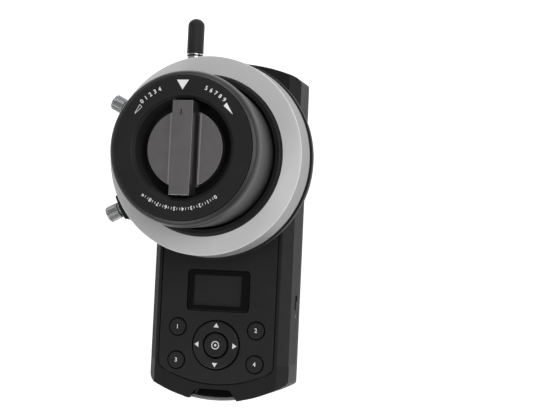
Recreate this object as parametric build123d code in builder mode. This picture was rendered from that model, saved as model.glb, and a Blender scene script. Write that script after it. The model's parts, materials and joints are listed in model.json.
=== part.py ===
from build123d import *
import os
from math import cos, radians, sin, sqrt

# Hand controller of a wireless follow focus: a casing that is held in one hand, with a
# big focus wheel on its front, a keypad and display below the wheel, and an aerial on top.
# Millimetres. The wheel turns about Z, the back of the casing lies on z = 0, the aerial
# points along +Y and the keypad is on the -Y end.

os.makedirs("parts", exist_ok=True)

# ---------------------------------------------------------------- driving dimensions
# Casing
body_width = 70.0
body_depth = 32.0
body_bottom = 116.0  # wheel axis to the lowest point of the casing
body_top = 48.8  # wheel axis to the highest point of the casing
bottom_bulge = 10.0  # rise of the rounded bottom end
top_bulge = 7.0  # rise of the rounded top end
plan_corner = 3.5
wall = 2.6
bevel_run = 4.2  # front bevel, measured across the front
bevel_drop = 6.0  # front bevel, measured down the side
back_round = 9.0
end_edge = 0.8  # rounding where the ends meet the front
back_end_edge = 2.0  # bevel where the ends meet the back
seam_height = 11.0  # where the rear casing meets the front casing
shadow_depth = 0.7  # groove below the front bevel
shadow_width = 1.1

# Clearances
running_fit = 0.06  # shaft in bore, on the radius
seat_fit = 0.05  # fixed round piece in its seat, on the radius
panel_gap = 0.25  # between two flush covers
slide_gap = 0.3  # between pieces that move past each other

# Side grips and front fascia
grip_thick = 1.2
grip_bottom_margin = 19.0
grip_top_margin = 20.8
fascia_thick = 1.2
fascia_side_margin = 1.7  # front bevel to fascia
fascia_margin = 8.3  # casing bottom to fascia bottom
fascia_corner = 4.0
fascia_top_y = -35.0

# Keypad and display
pad_margin = 27.3  # casing bottom to the middle of the direction pad
pad_radius = 11.9
pad_proud = 0.9
ok_radius = 6.0
ok_proud = 1.2
button_radius = 4.7
button_proud = 0.7
button_flange = 0.8
button_side_margin = 9.3  # side of the fascia to the middle of a button
button_row_up = 7.95
button_row_down = 8.2
press_travel = 0.6
display_rise = 26.2  # middle of the pad to the middle of the display
window_width = 31.2
window_height = 19.8
window_corner = 1.8
window_thick = 1.1
screen_width = 25.4
screen_height = 15.0
board_thick = 1.6
screen_rim = 0.8  # gap round the screen in the casing
screen_cover = 0.3  # below the window and below the front wall
module_width = 30.0
module_height = 18.6
keypad_board_gap = 3.5  # front wall to keypad board
keypad_board_rise = 7.2  # past the display module
keypad_board_drop = 3.6  # past the lowest keys
keypad_post_radius = 1.8
keypad_post_margin = 3.2
keypad_post_side = 4.0
keypad_post_narrow = 10.0
dome_radius = 1.7
dome_height = 0.9
dome_edge = 0.4
pad_dome_radius = 9.6
pad_bore_gap = 0.35
pad_flange_drop = 1.4  # inner front to the back of the pad
pivot_width = 1.0
pivot_thick = 0.6
pivot_gap = 0.5
key_edge = 0.4
key_rest_gap = 0.2  # key to snap dome, on top of its travel
ok_stem = 2.0

# Focus wheel
base_height = 16.5
base_floor = 3.0
base_screw_radius = 28.0
base_screw_shaft = 1.45
base_screw_head = 2.6
base_screw_reach = 4.4  # into the casing, behind its front wall
base_screw_head_height = 2.0
base_screw_hex = 1.4
base_boss_tip = 1.0
base_screw_angle = 45.0
base_wall = 2.2
base_lip = 1.3  # past the marking ring
stop_recess = 3.2  # from the lip to the wall in which the end stops run
base_edge = 0.6
ring_gap = 1.5  # base ring to marking ring
ring_flare = 0.5
ring_height = 14.6
ring_thick = 2.0
ring_width = 10.2
collar_proud = 1.9
collar_gap = 1.1  # knob to collar
collar_wall = 1.8
collar_lip = 1.5  # on top of the marking ring
knob_height = 64.0  # front panel to knob face
knob_rear_radius = 33.1
knob_flare = 1.8  # knob rear to the widest place of its side
knob_shoulder = 4.0  # from there to the knob face
knob_shoulder_flat = 0.5  # rim of the side below the knob face
face_margin = 3.1  # widest place of the side to the edge of the face plate
knob_rear_height = 32.0  # front panel to where the knob side starts to flare
knob_edge = 0.5
face_round = 0.4
knob_wall = 2.8
recess_radius = 22.0
recess_rim = 1.6
recess_depth = 13.5
cup_wall = 1.8
cup_floor = 2.5
bush_wall = 3.0
bush_flange_width = 1.5
bush_flange_thick = 1.2
bush_tail = 1.5  # past the cup's floor
spindle_radius = 5.0
spindle_rise = 0.6  # above the front panel
spindle_flange_width = 4.0
flange_thick = 1.5
clip_depth = 0.6
clip_thick = 0.9
clip_gap = 0.1
clip_mouth = 2.4
magnet_radius = 3.0
magnet_depth = 2.0
magnet_proud = 0.2
bearing_width = 5.0
bearing_section = 4.45  # bore to outer ring
bearing_spread = 3.0
bearing_rise = 2.0
bearing_ledge = 2.45
ball_radius = 1.2
ball_count = 8
race_gap = 0.65
hub_wall = 3.0
brake_radius = 22.0
brake_thick = 3.0
web_gap = 1.68  # disc springs to the web
web_thick = 3.0
carrier_gap = 0.2
carrier_hub_wall = 3.0
skirt_wall = 3.0
plate_gap = 1.4  # inner plate of an end stop to the skirt
skirt_rise = 4.5
rim_wall = 4.5
rim_sunk = 0.5  # behind the marking ring's rear edge
lug_half_angle = 5.0
lug_gap = 0.5
ring_magnet_count = 6
ring_magnet_radius = 1.75
ring_magnet_thick = 2.0
ring_edge = 0.5
collar_fit = 0.1
collar_slope = 0.8
sleeve_floor = 3.0
sleeve_flange = 24.0  # radius of the hole in the sleeve's floor
face_thick = 3.0
face_overlap = 1.8  # knob face inside the sleeve's bore
knob_screw_shaft = 1.2
knob_screw_head = 2.2
knob_screw_head_height = 1.8
knob_screw_grip = 2.5  # into the sleeve's floor

# Drag
washer_gap = 0.2
washer_thick = 1.7
plate_thick = 1.3
plate_rim = 0.5
spring_inner = 13.0
spring_rim = 1.0  # brake face past the springs
spring_rise = 0.5
spring_thick = 0.3
spring_gap = 0.02
spider_thick = 2.0
spider_gap = 0.5
spider_arm_width = 5.0
spider_pin = 1.6
tension_screw_point = 1.0
tension_screw_gap = 0.2

# Tension dial
dial_gap = 4.6  # dial to the wall of the recess
dial_thick = 5.0
dial_edge = 0.4
dial_sunk = 4.0  # knob face to dial face
channel_rim = 1.65  # each side of the bar
channel_depth = 3.5
bar_width = 9.5
bar_end_gap = 1.2
bar_proud = 1.2
bar_edge = 0.35

# End stops
stop_angles = (153.0, 207.0)
stop_height = 9.0  # front panel to thumbscrew axis
stop_half_angle = 6.9
stop_block_thick = 9.4
stop_travel_out = 60.0  # degrees, towards the free side of the rim
slot_half_height = 3.5
slot_end_gap = 2.0  # degrees
neck_half_angle = 4.0
stop_edge = 0.6
stop_plate_thick = 3.5
block_overlap = 0.4  # past the slot's edges
neck_gap = 0.5
thumb_radius = 3.9
thumb_length = 7.4
thumb_shaft = 1.5
thumb_teeth = 22
thumb_groove = 0.4
thumb_groove_out = 0.15
thumb_shoulder = 1.0
thumb_grip = 3.0  # shaft inside the inner plate

# Aerial
aerial_side = 13.8  # left side wall to aerial axis
aerial_depth = 10.0  # front panel to aerial axis
aerial_boss_proud = 3.0  # outside the casing, on the aerial's axis
aerial_boss_inside = 2.26  # inside the casing's wall
aerial_radius = 4.15
aerial_tip = 72.9  # wheel axis to the tip
ferrule_length = 5.3
ferrule_cap = 1.2
ferrule_groove_rise = 1.3  # below the ferrule's top
ferrule_groove_width = 0.7
ferrule_groove_depth = 0.35
ferrule_proud = 0.1
aerial_boss = 5.0
aerial_stud = 3.0
aerial_nut = 4.6
aerial_nut_thick = 2.0
aerial_dome = 3.55

# Bottom notch with strap bar and ports
notch_width = 26.0  # along the casing's end
notch_narrowing = 4.6  # each side, towards the keys
notch_x = -0.6
notch_depth = 6.0
notch_height = 12.0
notch_wall = 1.6
strap_bar_thick = 1.8
strap_bar_height = 4.0
strap_bar_inset = 0.6  # behind the casing's own end
strap_bar_sunk = 1.0  # below the front
strap_bar_edge = 0.5
port_rise = 4.0  # notch floor to the middle of the ports
port_depth = 3.7
charge_port_side = 4.1
charge_port_width = 8.4
charge_port_height = 3.6
charge_port_wall = 0.7
charge_port_bore = 2.6
charge_tongue_sunk = 0.3
charge_tongue_width = 5.0
charge_tongue_thick = 0.6
data_port_side = 4.4
data_port_radius = 2.9
data_port_wall = 1.1
data_port_floor = 1.0

# Right side
switch_margin = 49.3  # casing bottom to the middle of the switch slot
switch_height = 16.0
slot_length = 7.0
slot_height = 3.6
slot_corner = 0.6
knob_length = 3.6
knob_proud = 0.7
knob_end_gap = 0.2
knob_ridge = 0.5
knob_ridge_step = 1.2
slider_thick = 1.6
slider_overlap = 1.5  # past the knob's ends
slider_cover = 1.2  # past the slot's edges
light_radius = 0.8
light_gap = 1.2  # to the slider of the switch
light_inside = 0.6

# Screws, inserts and inner pieces
screw_shaft = 1.25
screw_head = 2.2
screw_sunk = 2.2
boss_radius = 3.0
casing_screw_side = 9.0  # side wall to screw
screw_margin_bottom = 11.5
screw_margin_top = 14.8
screw_below_fascia = 7.0
screw_cover = 12.0  # front panel to the tip of a casing screw
screw_head_height = 1.6
screw_hex = 1.1
screw_hex_depth = 1.0
tripod_y = -22.0
tripod_bore = 3.175  # 1/4 inch camera thread, nominal
tripod_insert = 6.5
tripod_length = 10.0
tripod_wall = 2.6
tripod_floor = 1.0
battery_thick = 15.4
battery_gap = 2.0  # to the screw bosses beside it
battery_end_gap = 5.0  # to the main board
battery_margin = 15.0  # casing bottom to battery
battery_corner = 4.0
battery_edge = 1.5
main_board_height = 12.0
board_side_gap = 0.5  # to the screw bosses beside it
main_board_length = 66.0
main_board_margin = 14.8  # casing top to board
board_corner = 2.0
post_radius = 2.5
post_margin = 3.5
radio_width = 15.0
radio_length = 16.0
radio_thick = 3.2
radio_side = 9.0  # board's left and top edges to the middle of the radio module
encoder_size = 26.0
encoder_window = 7.5

# ---------------------------------------------------------------- worked-out places
side_x = body_width / 2
front_z = body_depth
inner_front = front_z - wall
bottom_corner_y = -(body_bottom - bottom_bulge)
top_corner_y = body_top - top_bulge
bottom_arc_radius = (side_x**2 + bottom_bulge**2) / (2 * bottom_bulge)
bottom_arc_y = bottom_arc_radius - body_bottom
reach = body_bottom + body_top  # longer than the casing, for cuts that run right through

fascia_half_width = side_x - bevel_run - fascia_side_margin
button_column = fascia_half_width - button_side_margin
fascia_floor = front_z - fascia_thick
pad_y = -(body_bottom - pad_margin)
display_y = pad_y + display_rise
board_top = inner_front - keypad_board_gap
button_spots = (
    (-button_column, pad_y + button_row_up),
    (button_column, pad_y + button_row_up),
    (-button_column, pad_y - button_row_down),
    (button_column, pad_y - button_row_down),
)

collar_bore = knob_rear_radius + collar_gap
ring_bore = collar_bore + collar_wall + collar_fit
collar_radius = ring_bore + collar_lip
ring_radius = ring_bore + ring_width
knob_rim_radius = knob_rear_radius + knob_flare
knob_face_radius = knob_rim_radius - face_margin
base_top = front_z + base_height
base_rim_radius = ring_radius + base_lip
base_radius = base_rim_radius - stop_recess
base_inner = base_radius - base_wall
ring_low = base_top + ring_gap
ring_top = ring_low + ring_height
knob_front = front_z + knob_height
knob_flare_z = front_z + knob_rear_height
recess_floor = knob_front - recess_depth
bearing_outer = spindle_radius + bearing_section
spindle_flange = spindle_radius + spindle_flange_width
carrier_hub = spindle_radius + carrier_hub_wall
bush_radius = spindle_radius + bush_wall
bush_flange = bush_radius + bush_flange_width
bearing_seat = front_z + bearing_rise
bearing_top = bearing_seat + 2 * bearing_width + bearing_spread
washer_low = bearing_top + washer_gap
plate_low = washer_low + washer_thick
spring_low = plate_low + plate_thick
spring_pitch = 2 * spring_rise + spring_thick + spring_gap
spring_top = spring_low + spring_pitch + spring_rise + spring_thick
spring_outer = brake_radius - spring_rim
spider_arm_length = (spring_inner + spring_outer) / 2
knob_screw_radius = (sleeve_flange + knob_rear_radius) / 2
web_low = spring_top + web_gap
web_top = web_low + web_thick
dial_radius = recess_radius - dial_gap
channel_width = bar_width + 2 * channel_rim
bar_length = 2 * (recess_radius - bar_end_gap)
dial_top = knob_front - dial_sunk
dial_low = dial_top - dial_thick
channel_floor = dial_top - channel_depth
bar_top = knob_front + bar_proud
stop_z = front_z + stop_height
block_half_height = slot_half_height + block_overlap
base_rim_low = stop_z + block_half_height + slide_gap
plate_high_r = base_inner - slide_gap
plate_low_r = plate_high_r - stop_plate_thick
skirt_radius = plate_low_r - plate_gap
top_arc_radius = (side_x**2 + top_bulge**2) / (2 * top_bulge)
top_arc_y = body_top - top_arc_radius
aerial_x = aerial_side - side_x
aerial_z = front_z - aerial_depth
aerial_wall_y = top_arc_y + sqrt((top_arc_radius - wall) ** 2 - aerial_x**2)
aerial_boss_inner = aerial_wall_y - aerial_boss_inside
aerial_boss_reach = top_arc_y + sqrt(top_arc_radius**2 - aerial_x**2) + aerial_boss_proud
notch_y = -(body_bottom - notch_depth)
notch_floor = front_z - notch_height
strap_bar_width = notch_width + 2 * notch_wall
strap_bar_low = front_z - strap_bar_sunk - strap_bar_height
switch_y = -(body_bottom - switch_margin)
switch_rest_y = switch_y - (slot_length - knob_length) / 2 + knob_end_gap
light_y = switch_rest_y - knob_length / 2 - slider_overlap - light_gap - light_radius


# ---------------------------------------------------------------- shared shapes
def turned(*outline):
    """Solid of revolution about the wheel axis, from (radius, height) corners."""
    with BuildPart() as body:
        with BuildSketch(Plane.XZ):
            with BuildLine():
                Polyline(*outline, close=True)
            make_face()
        revolve(axis=Axis.Z)
    return body.part


def turned_ring(inner, outer, low, high):
    """Plain ring about the wheel axis."""
    return turned((inner, low), (outer, low), (outer, high), (inner, high))


def sector(inner, outer, low, high, middle, half):
    """Piece of a ring about the wheel axis, half degrees each side of the middle angle."""
    start = radians(middle - half)
    plane = Plane(
        origin=(0, 0, 0),
        x_dir=(cos(start), sin(start), 0),
        z_dir=(sin(start), -cos(start), 0),
    )
    with BuildPart() as body:
        with BuildSketch(plane):
            with Locations(((inner + outer) / 2, (low + high) / 2)):
                Rectangle(outer - inner, high - low)
        revolve(axis=Axis.Z, revolution_arc=2 * half)
    return body.part


def posts(spots, radius, low, high):
    """Upright cylinders at the given places."""
    with BuildPart() as body:
        with BuildSketch(Plane.XY.offset(low)):
            with Locations(*spots):
                Circle(radius)
        extrude(amount=high - low)
    return body.part


def block(width, length, low, high, x=0.0, y=0.0, corner=0.0):
    """Upright block with its middle at x, y, and corners rounded in plan."""
    with BuildPart() as body:
        with BuildSketch(Plane.XY.offset(low)):
            with Locations((x, y)):
                if corner:
                    RectangleRounded(width, length, corner)
                else:
                    Rectangle(width, length)
        extrude(amount=high - low)
    return body.part


def plan_face(inset):
    """Casing outline seen from the front, moved inwards by inset."""
    with BuildSketch() as plan:
        with BuildLine():
            Line((-side_x, top_corner_y), (-side_x, bottom_corner_y))
            ThreePointArc(
                (-side_x, bottom_corner_y), (0, -body_bottom), (side_x, bottom_corner_y)
            )
            Line((side_x, bottom_corner_y), (side_x, top_corner_y))
            ThreePointArc((side_x, top_corner_y), (0, body_top), (-side_x, top_corner_y))
        make_face()
        fillet(plan.vertices(), plan_corner)
        if inset:
            offset(amount=-inset, mode=Mode.REPLACE)
    return plan.sketch


def section_face(inset):
    """Casing section across its width, bevelled in front and rounded at the back."""
    with BuildSketch() as section:
        with BuildLine():
            Polyline(
                (0, front_z),
                (side_x - bevel_run, front_z),
                (side_x, front_z - bevel_drop),
                (side_x, back_round),
            )
            RadiusArc((side_x, back_round), (side_x - back_round, 0), back_round)
            Line((side_x - back_round, 0), (0, 0))
            mirror(about=Plane.YZ)
        make_face()
        if inset:
            offset(amount=-inset, mode=Mode.REPLACE)
    return section.sketch


def casing_block(inset, end_bevel=0.0):
    """The casing as one solid, with every face moved inwards by inset."""
    with BuildPart() as body:
        with BuildSketch(Plane.XY.offset(end_bevel)):
            add(plan_face(inset))
        extrude(amount=body_depth - end_bevel)
        if end_bevel:
            with BuildSketch(Plane.XY.offset(end_bevel)):
                add(plan_face(inset))
            extrude(amount=-end_bevel, taper=45)
        with BuildSketch(Plane.XZ.offset(-reach)):
            add(section_face(inset))
        extrude(amount=2 * reach, mode=Mode.INTERSECT)
    return body.part


def grip_shape(side):
    """One side grip: the outer skin of the casing over the bevel and the side wall."""
    top = body_top - grip_top_margin
    bottom = -(body_bottom - grip_bottom_margin)
    start = side_x - bevel_run
    with BuildPart() as body:
        with BuildSketch(Plane.XZ.offset(-top)):
            add(section_face(0))
            add(section_face(grip_thick), mode=Mode.SUBTRACT)
        extrude(amount=top - bottom)
        with BuildSketch(Plane.XZ.offset(-top)):
            with Locations((side * (start + bevel_run), (seam_height + front_z) / 2)):
                Rectangle(2 * bevel_run, front_z - seam_height)
        extrude(amount=top - bottom, mode=Mode.INTERSECT)
    return body.part


def fascia_face(grow):
    """Outline of the keypad fascia, grown by grow on every side."""
    length = body_bottom + fascia_top_y
    with BuildSketch() as face:
        with Locations((0, fascia_top_y + grow - length / 2)):
            Rectangle(2 * (fascia_half_width + grow), length)
        with Locations((0, bottom_arc_y)):
            Circle(bottom_arc_radius - fascia_margin + grow, mode=Mode.INTERSECT)
        fillet(face.vertices().group_by(Axis.Y)[0], fascia_corner + grow)
    return face.sketch


def radial_plane(angle, radius):
    """Plane across the radius at the given angle, at the height of the thumbscrews."""
    turn = radians(angle)
    return Plane(
        origin=(radius * cos(turn), radius * sin(turn), stop_z),
        x_dir=(0, 0, 1),
        z_dir=(cos(turn), sin(turn), 0),
    )


def upright_plane(y, x=0.0, z=0.0):
    """Plane across the casing's length, whose normal points towards the aerial."""
    return Plane(origin=(x, y, z), x_dir=(-1, 0, 0), z_dir=(0, 1, 0))


def strap_bar_shape():
    """Flat bar across the bottom notch, curved like the end of the casing."""
    with BuildPart() as body:
        with BuildSketch(Plane.XY.offset(strap_bar_low)):
            with Locations((0, bottom_arc_y)):
                Circle(bottom_arc_radius - strap_bar_inset)
                Circle(
                    bottom_arc_radius - strap_bar_inset - strap_bar_thick,
                    mode=Mode.SUBTRACT,
                )
            with Locations((notch_x, notch_y)):
                Rectangle(strap_bar_width, 2 * notch_depth, mode=Mode.INTERSECT)
        extrude(amount=strap_bar_height)
    return body.part


def notch_shape():
    """Space of the bottom notch, narrower towards the keys and open at the casing's end."""
    inner = notch_width / 2 - notch_narrowing
    outer = notch_width / 2 + notch_narrowing
    with BuildPart() as body:
        with BuildSketch(Plane.XY.offset(notch_floor)):
            with BuildLine():
                Polyline(
                    (notch_x - inner, notch_y),
                    (notch_x + inner, notch_y),
                    (notch_x + outer, notch_y - 2 * notch_depth),
                    (notch_x - outer, notch_y - 2 * notch_depth),
                    close=True,
                )
            make_face()
        extrude(amount=front_z - notch_floor)
    return body.part


def port_shell(width, height, low, high):
    """Block of the charging port, from low to high along the casing behind the notch."""
    middle = notch_y + (low + high) / 2
    bottom = port_z - height / 2
    return block(width, high - low, bottom, bottom + height, charge_port_x, middle)


def side_openings():
    """What the switch slot and the light hole take out of the right side wall."""
    with BuildPart() as body:
        with BuildSketch(Plane.YZ.offset(switch_hollow_x)):
            with Locations((switch_y, switch_height)):
                RectangleRounded(slot_length, slot_height, slot_corner)
            with Locations((light_y, switch_height)):
                Circle(light_radius + seat_fit)
        extrude(amount=wall)
    return body.part


# ---------------------------------------------------------------- casing
casing_screw_x = side_x - casing_screw_side
screw_rows = (
    screw_margin_bottom - body_bottom,
    fascia_top_y - screw_below_fascia,
    body_top - screw_margin_top,
)
screw_spots = [(x, y) for y in screw_rows for x in (-casing_screw_x, casing_screw_x)]
screw_end = front_z - screw_cover
base_screw_end = inner_front - base_screw_reach
main_board_half = casing_screw_x - boss_radius - board_side_gap
main_board_y = body_top - main_board_margin - main_board_length / 2
post_x = main_board_half - post_margin
post_rise = main_board_length / 2 - post_margin
main_board_posts = [
    (x, main_board_y + y) for x in (-post_x, post_x) for y in (-post_rise, post_rise)
]
keypad_board_top_y = display_y + module_height / 2 + keypad_board_rise
lowest_key_y = pad_y - button_row_down - button_radius - button_flange
keypad_board_bottom_y = lowest_key_y - keypad_board_drop
keypad_post_wide = main_board_half - keypad_post_side
keypad_post_top_y = keypad_board_top_y - keypad_post_margin
keypad_post_bottom_y = keypad_board_bottom_y + keypad_post_margin
keypad_posts = (
    (-keypad_post_wide, keypad_post_top_y),
    (keypad_post_wide, keypad_post_top_y),
    (-keypad_post_narrow, keypad_post_bottom_y),
    (keypad_post_narrow, keypad_post_bottom_y),
)
charge_port_x = notch_x - charge_port_side
data_port_x = notch_x + data_port_side
port_z = notch_floor + port_rise
switch_hollow_x = side_x - wall

with BuildPart() as casing_shell:
    add(casing_block(0, back_end_edge))
    front_ends = casing_shell.edges().group_by(Axis.Z)[-1].filter_by(GeomType.CIRCLE)
    fillet(front_ends, end_edge)
    add(casing_block(wall), mode=Mode.SUBTRACT)

with BuildPart() as front_casing:
    add(casing_shell.part)
    split(bisect_by=Plane.XY.offset(seam_height), keep=Keep.TOP)
    # shadow groove below the front bevel
    with BuildSketch(Plane.XY.offset(front_z - bevel_drop - shadow_width)):
        add(plan_face(0))
        add(plan_face(shadow_depth), mode=Mode.SUBTRACT)
    extrude(amount=shadow_width, mode=Mode.SUBTRACT)
    for side in (-1, 1):
        add(grip_shape(side), mode=Mode.SUBTRACT)
    # seat of the fascia
    with BuildSketch(Plane.XY.offset(fascia_floor)):
        add(fascia_face(panel_gap))
    extrude(amount=fascia_thick, mode=Mode.SUBTRACT)
    # inner bosses
    add(posts(screw_spots, boss_radius, seam_height, inner_front))
    add(posts(keypad_posts, keypad_post_radius, board_top, inner_front))
    with BuildSketch(Plane.XY.offset(base_screw_end - base_boss_tip)):
        with PolarLocations(base_screw_radius, 4, start_angle=base_screw_angle):
            Circle(boss_radius)
    extrude(amount=inner_front - base_screw_end + base_boss_tip)
    with BuildSketch(Plane.XY.offset(base_screw_end)):
        with PolarLocations(base_screw_radius, 4, start_angle=base_screw_angle):
            Circle(base_screw_shaft + seat_fit)
    extrude(amount=front_z - base_screw_end, mode=Mode.SUBTRACT)
    add(posts(screw_spots, screw_shaft + seat_fit, seam_height, screw_end), mode=Mode.SUBTRACT)
    add(posts(((0, 0),), encoder_window, inner_front, front_z), mode=Mode.SUBTRACT)
    # openings of the display, the pad and the buttons
    add(
        block(
            screen_width + 2 * screen_rim,
            screen_height + 2 * screen_rim,
            inner_front,
            front_z,
            y=display_y,
        ),
        mode=Mode.SUBTRACT,
    )
    add(
        posts(((0, pad_y),), pad_radius + slide_gap, inner_front, front_z),
        mode=Mode.SUBTRACT,
    )
    add(
        posts(button_spots, button_radius + panel_gap, inner_front, front_z),
        mode=Mode.SUBTRACT,
    )
    # boss of the aerial
    with BuildSketch(upright_plane(aerial_boss_inner, aerial_x, aerial_z)):
        Circle(aerial_boss)
    extrude(amount=aerial_boss_reach - aerial_boss_inner)
    with BuildSketch(upright_plane(aerial_boss_inner, aerial_x, aerial_z)):
        Circle(aerial_stud + seat_fit)
    extrude(amount=aerial_boss_reach - aerial_boss_inner, mode=Mode.SUBTRACT)

# pocket walls of the bottom notch, trimmed to the casing's own outline
with BuildPart() as notch_pocket:
    add(
        block(
            strap_bar_width,
            notch_depth + notch_wall,
            notch_floor - notch_wall,
            front_z,
            x=notch_x,
            y=notch_y - (notch_depth - notch_wall) / 2,
        )
    )
    add(casing_block(0), mode=Mode.INTERSECT)

with BuildPart() as strap_bar:
    add(strap_bar_shape())
    top_edges = strap_bar.edges().group_by(Axis.Z)[-1].sort_by(SortBy.LENGTH)
    fillet(top_edges[-2:], strap_bar_edge)

strap_bar.part.label = "strap_bar"
export_step(strap_bar.part, "parts/strap_bar.step")

with BuildPart() as charge_port:
    add(port_shell(charge_port_width, charge_port_height, 0, port_depth))
    add(
        port_shell(
            charge_port_width - 2 * charge_port_wall,
            charge_port_height - 2 * charge_port_wall,
            0,
            charge_port_bore,
        ),
        mode=Mode.SUBTRACT,
    )
    # tongue that carries the contacts
    add(
        port_shell(
            charge_tongue_width, charge_tongue_thick, charge_tongue_sunk, charge_port_bore
        )
    )

charge_port.part.label = "charge_port"
export_step(charge_port.part, "parts/charge_port.step")

with BuildPart() as data_port:
    with BuildSketch(upright_plane(notch_y, data_port_x, port_z)):
        Circle(data_port_radius)
    extrude(amount=port_depth)
    with BuildSketch(upright_plane(notch_y, data_port_x, port_z)):
        Circle(data_port_radius - data_port_wall)
    extrude(amount=port_depth - data_port_floor, mode=Mode.SUBTRACT)

data_port.part.label = "data_port"
export_step(data_port.part, "parts/data_port.step")

with BuildPart() as front_shell:
    add(front_casing.part)
    add(notch_pocket.part)
    add(notch_shape(), mode=Mode.SUBTRACT)
    add(strap_bar_shape(), mode=Mode.SUBTRACT)
    add(
        port_shell(charge_port_width, charge_port_height, 0, notch_wall),
        mode=Mode.SUBTRACT,
    )
    with BuildSketch(upright_plane(notch_y, data_port_x, port_z)):
        Circle(data_port_radius + seat_fit)
    extrude(amount=notch_wall, mode=Mode.SUBTRACT)
    add(side_openings(), mode=Mode.SUBTRACT)

front_shell.part.label = "front_casing"
export_step(front_shell.part, "parts/front_casing.step")

with BuildPart() as rear_casing:
    add(casing_shell.part)
    split(bisect_by=Plane.XY.offset(seam_height), keep=Keep.BOTTOM)
    add(posts(screw_spots, boss_radius, wall, seam_height))
    add(
        posts(screw_spots, screw_head + panel_gap, 0, screw_sunk),
        mode=Mode.SUBTRACT,
    )
    add(
        posts(screw_spots, screw_shaft + seat_fit, screw_sunk, seam_height),
        mode=Mode.SUBTRACT,
    )
    add(posts(main_board_posts, post_radius, wall, main_board_height))
    add(posts(((0, tripod_y),), tripod_insert + tripod_wall, 0, tripod_length))
    add(posts(((0, tripod_y),), tripod_insert + seat_fit, 0, tripod_length), mode=Mode.SUBTRACT)

rear_casing.part.label = "rear_casing"
export_step(rear_casing.part, "parts/rear_casing.step")

for side, name in ((-1, "side_grip_left"), (1, "side_grip_right")):
    with BuildPart() as side_grip:
        add(grip_shape(side))
        if side > 0:
            add(side_openings(), mode=Mode.SUBTRACT)
    side_grip.part.label = name
    export_step(side_grip.part, f"parts/{name}.step")

with BuildPart() as front_fascia:
    with BuildSketch(Plane.XY.offset(fascia_floor)):
        add(fascia_face(0))
        with Locations((0, display_y)):
            RectangleRounded(
                window_width + 2 * panel_gap,
                window_height + 2 * panel_gap,
                window_corner + panel_gap,
                mode=Mode.SUBTRACT,
            )
        with Locations((0, pad_y)):
            Circle(pad_radius + slide_gap, mode=Mode.SUBTRACT)
        with Locations(*button_spots):
            Circle(button_radius + panel_gap, mode=Mode.SUBTRACT)
    extrude(amount=fascia_thick)

front_fascia.part.label = "front_fascia"
export_step(front_fascia.part, "parts/front_fascia.step")

with BuildPart() as casing_screws:
    add(posts(screw_spots, screw_head, screw_sunk - screw_head_height, screw_sunk))
    add(posts(screw_spots, screw_shaft, screw_sunk, screw_end))
    with BuildSketch(Plane.XY.offset(screw_sunk - screw_head_height)):
        with Locations(*screw_spots):
            RegularPolygon(screw_hex, 6)
    extrude(amount=screw_hex_depth, mode=Mode.SUBTRACT)

casing_screws.part.label = "casing_screws"
export_step(casing_screws.part, "parts/casing_screws.step")

with BuildPart() as tripod_bush:
    add(posts(((0, tripod_y),), tripod_insert, 0, tripod_length))
    add(
        posts(((0, tripod_y),), tripod_bore, 0, tripod_length - tripod_floor),
        mode=Mode.SUBTRACT,
    )

tripod_bush.part.label = "tripod_bush"
export_step(tripod_bush.part, "parts/tripod_bush.step")

with BuildPart() as status_light:
    with BuildSketch(Plane.YZ.offset(switch_hollow_x - light_inside)):
        with Locations((light_y, switch_height)):
            Circle(light_radius)
    extrude(amount=wall + light_inside)

status_light.part.label = "status_light"
export_step(status_light.part, "parts/status_light.step")

knob_reach = wall + slide_gap + knob_proud
with BuildPart() as power_switch:
    add(
        block(
            slider_thick,
            knob_length + 2 * slider_overlap,
            switch_height - slot_height / 2 - slider_cover,
            switch_height + slot_height / 2 + slider_cover,
            x=switch_hollow_x - slide_gap - slider_thick / 2,
            y=switch_rest_y,
        )
    )
    add(
        block(
            knob_reach,
            knob_length,
            switch_height - slot_height / 2 + slide_gap,
            switch_height + slot_height / 2 - slide_gap,
            x=switch_hollow_x - slide_gap + knob_reach / 2,
            y=switch_rest_y,
        )
    )
    # finger ridges on the outer face
    with BuildSketch(Plane.XY.offset(switch_height - slot_height / 2)):
        with Locations((side_x + knob_proud, switch_rest_y)):
            with GridLocations(0, knob_ridge_step, 1, 3):
                Rectangle(2 * knob_ridge, knob_ridge)
    extrude(amount=slot_height, mode=Mode.SUBTRACT)

power_switch.part.label = "power_switch"
export_step(power_switch.part, "parts/power_switch.step")

# ---------------------------------------------------------------- display and keypad
with BuildPart() as display_window:
    add(
        block(
            window_width,
            window_height,
            fascia_floor,
            fascia_floor + window_thick,
            y=display_y,
            corner=window_corner,
        )
    )

display_window.part.label = "display_window"
export_step(display_window.part, "parts/display_window.step")

with BuildPart() as display_module:
    module_top = inner_front - screen_cover
    add(block(module_width, module_height, board_top, module_top, y=display_y))
    add(
        block(
            screen_width,
            screen_height,
            module_top,
            fascia_floor - screen_cover,
            y=display_y,
        )
    )

display_module.part.label = "display_module"
export_step(display_module.part, "parts/display_module.step")

with BuildPart() as keypad_board:
    board_length = keypad_board_top_y - keypad_board_bottom_y
    add(
        block(
            2 * main_board_half,
            board_length,
            board_top - board_thick,
            board_top,
            y=(keypad_board_top_y + keypad_board_bottom_y) / 2,
            corner=board_corner,
        )
    )

keypad_board.part.label = "keypad_board"
export_step(keypad_board.part, "parts/keypad_board.step")

with BuildPart() as dome_switches:
    with BuildSketch(Plane.XY.offset(board_top)):
        with Locations(*button_spots):
            Circle(dome_radius)
        with Locations((0, pad_y)):
            Circle(dome_radius)
            with PolarLocations(pad_dome_radius, 4):
                Circle(dome_radius)
    extrude(amount=dome_height)
    chamfer(dome_switches.edges().group_by(Axis.Z)[-1], dome_edge)

dome_switches.part.label = "dome_switches"
export_step(dome_switches.part, "parts/dome_switches.step")

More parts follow.
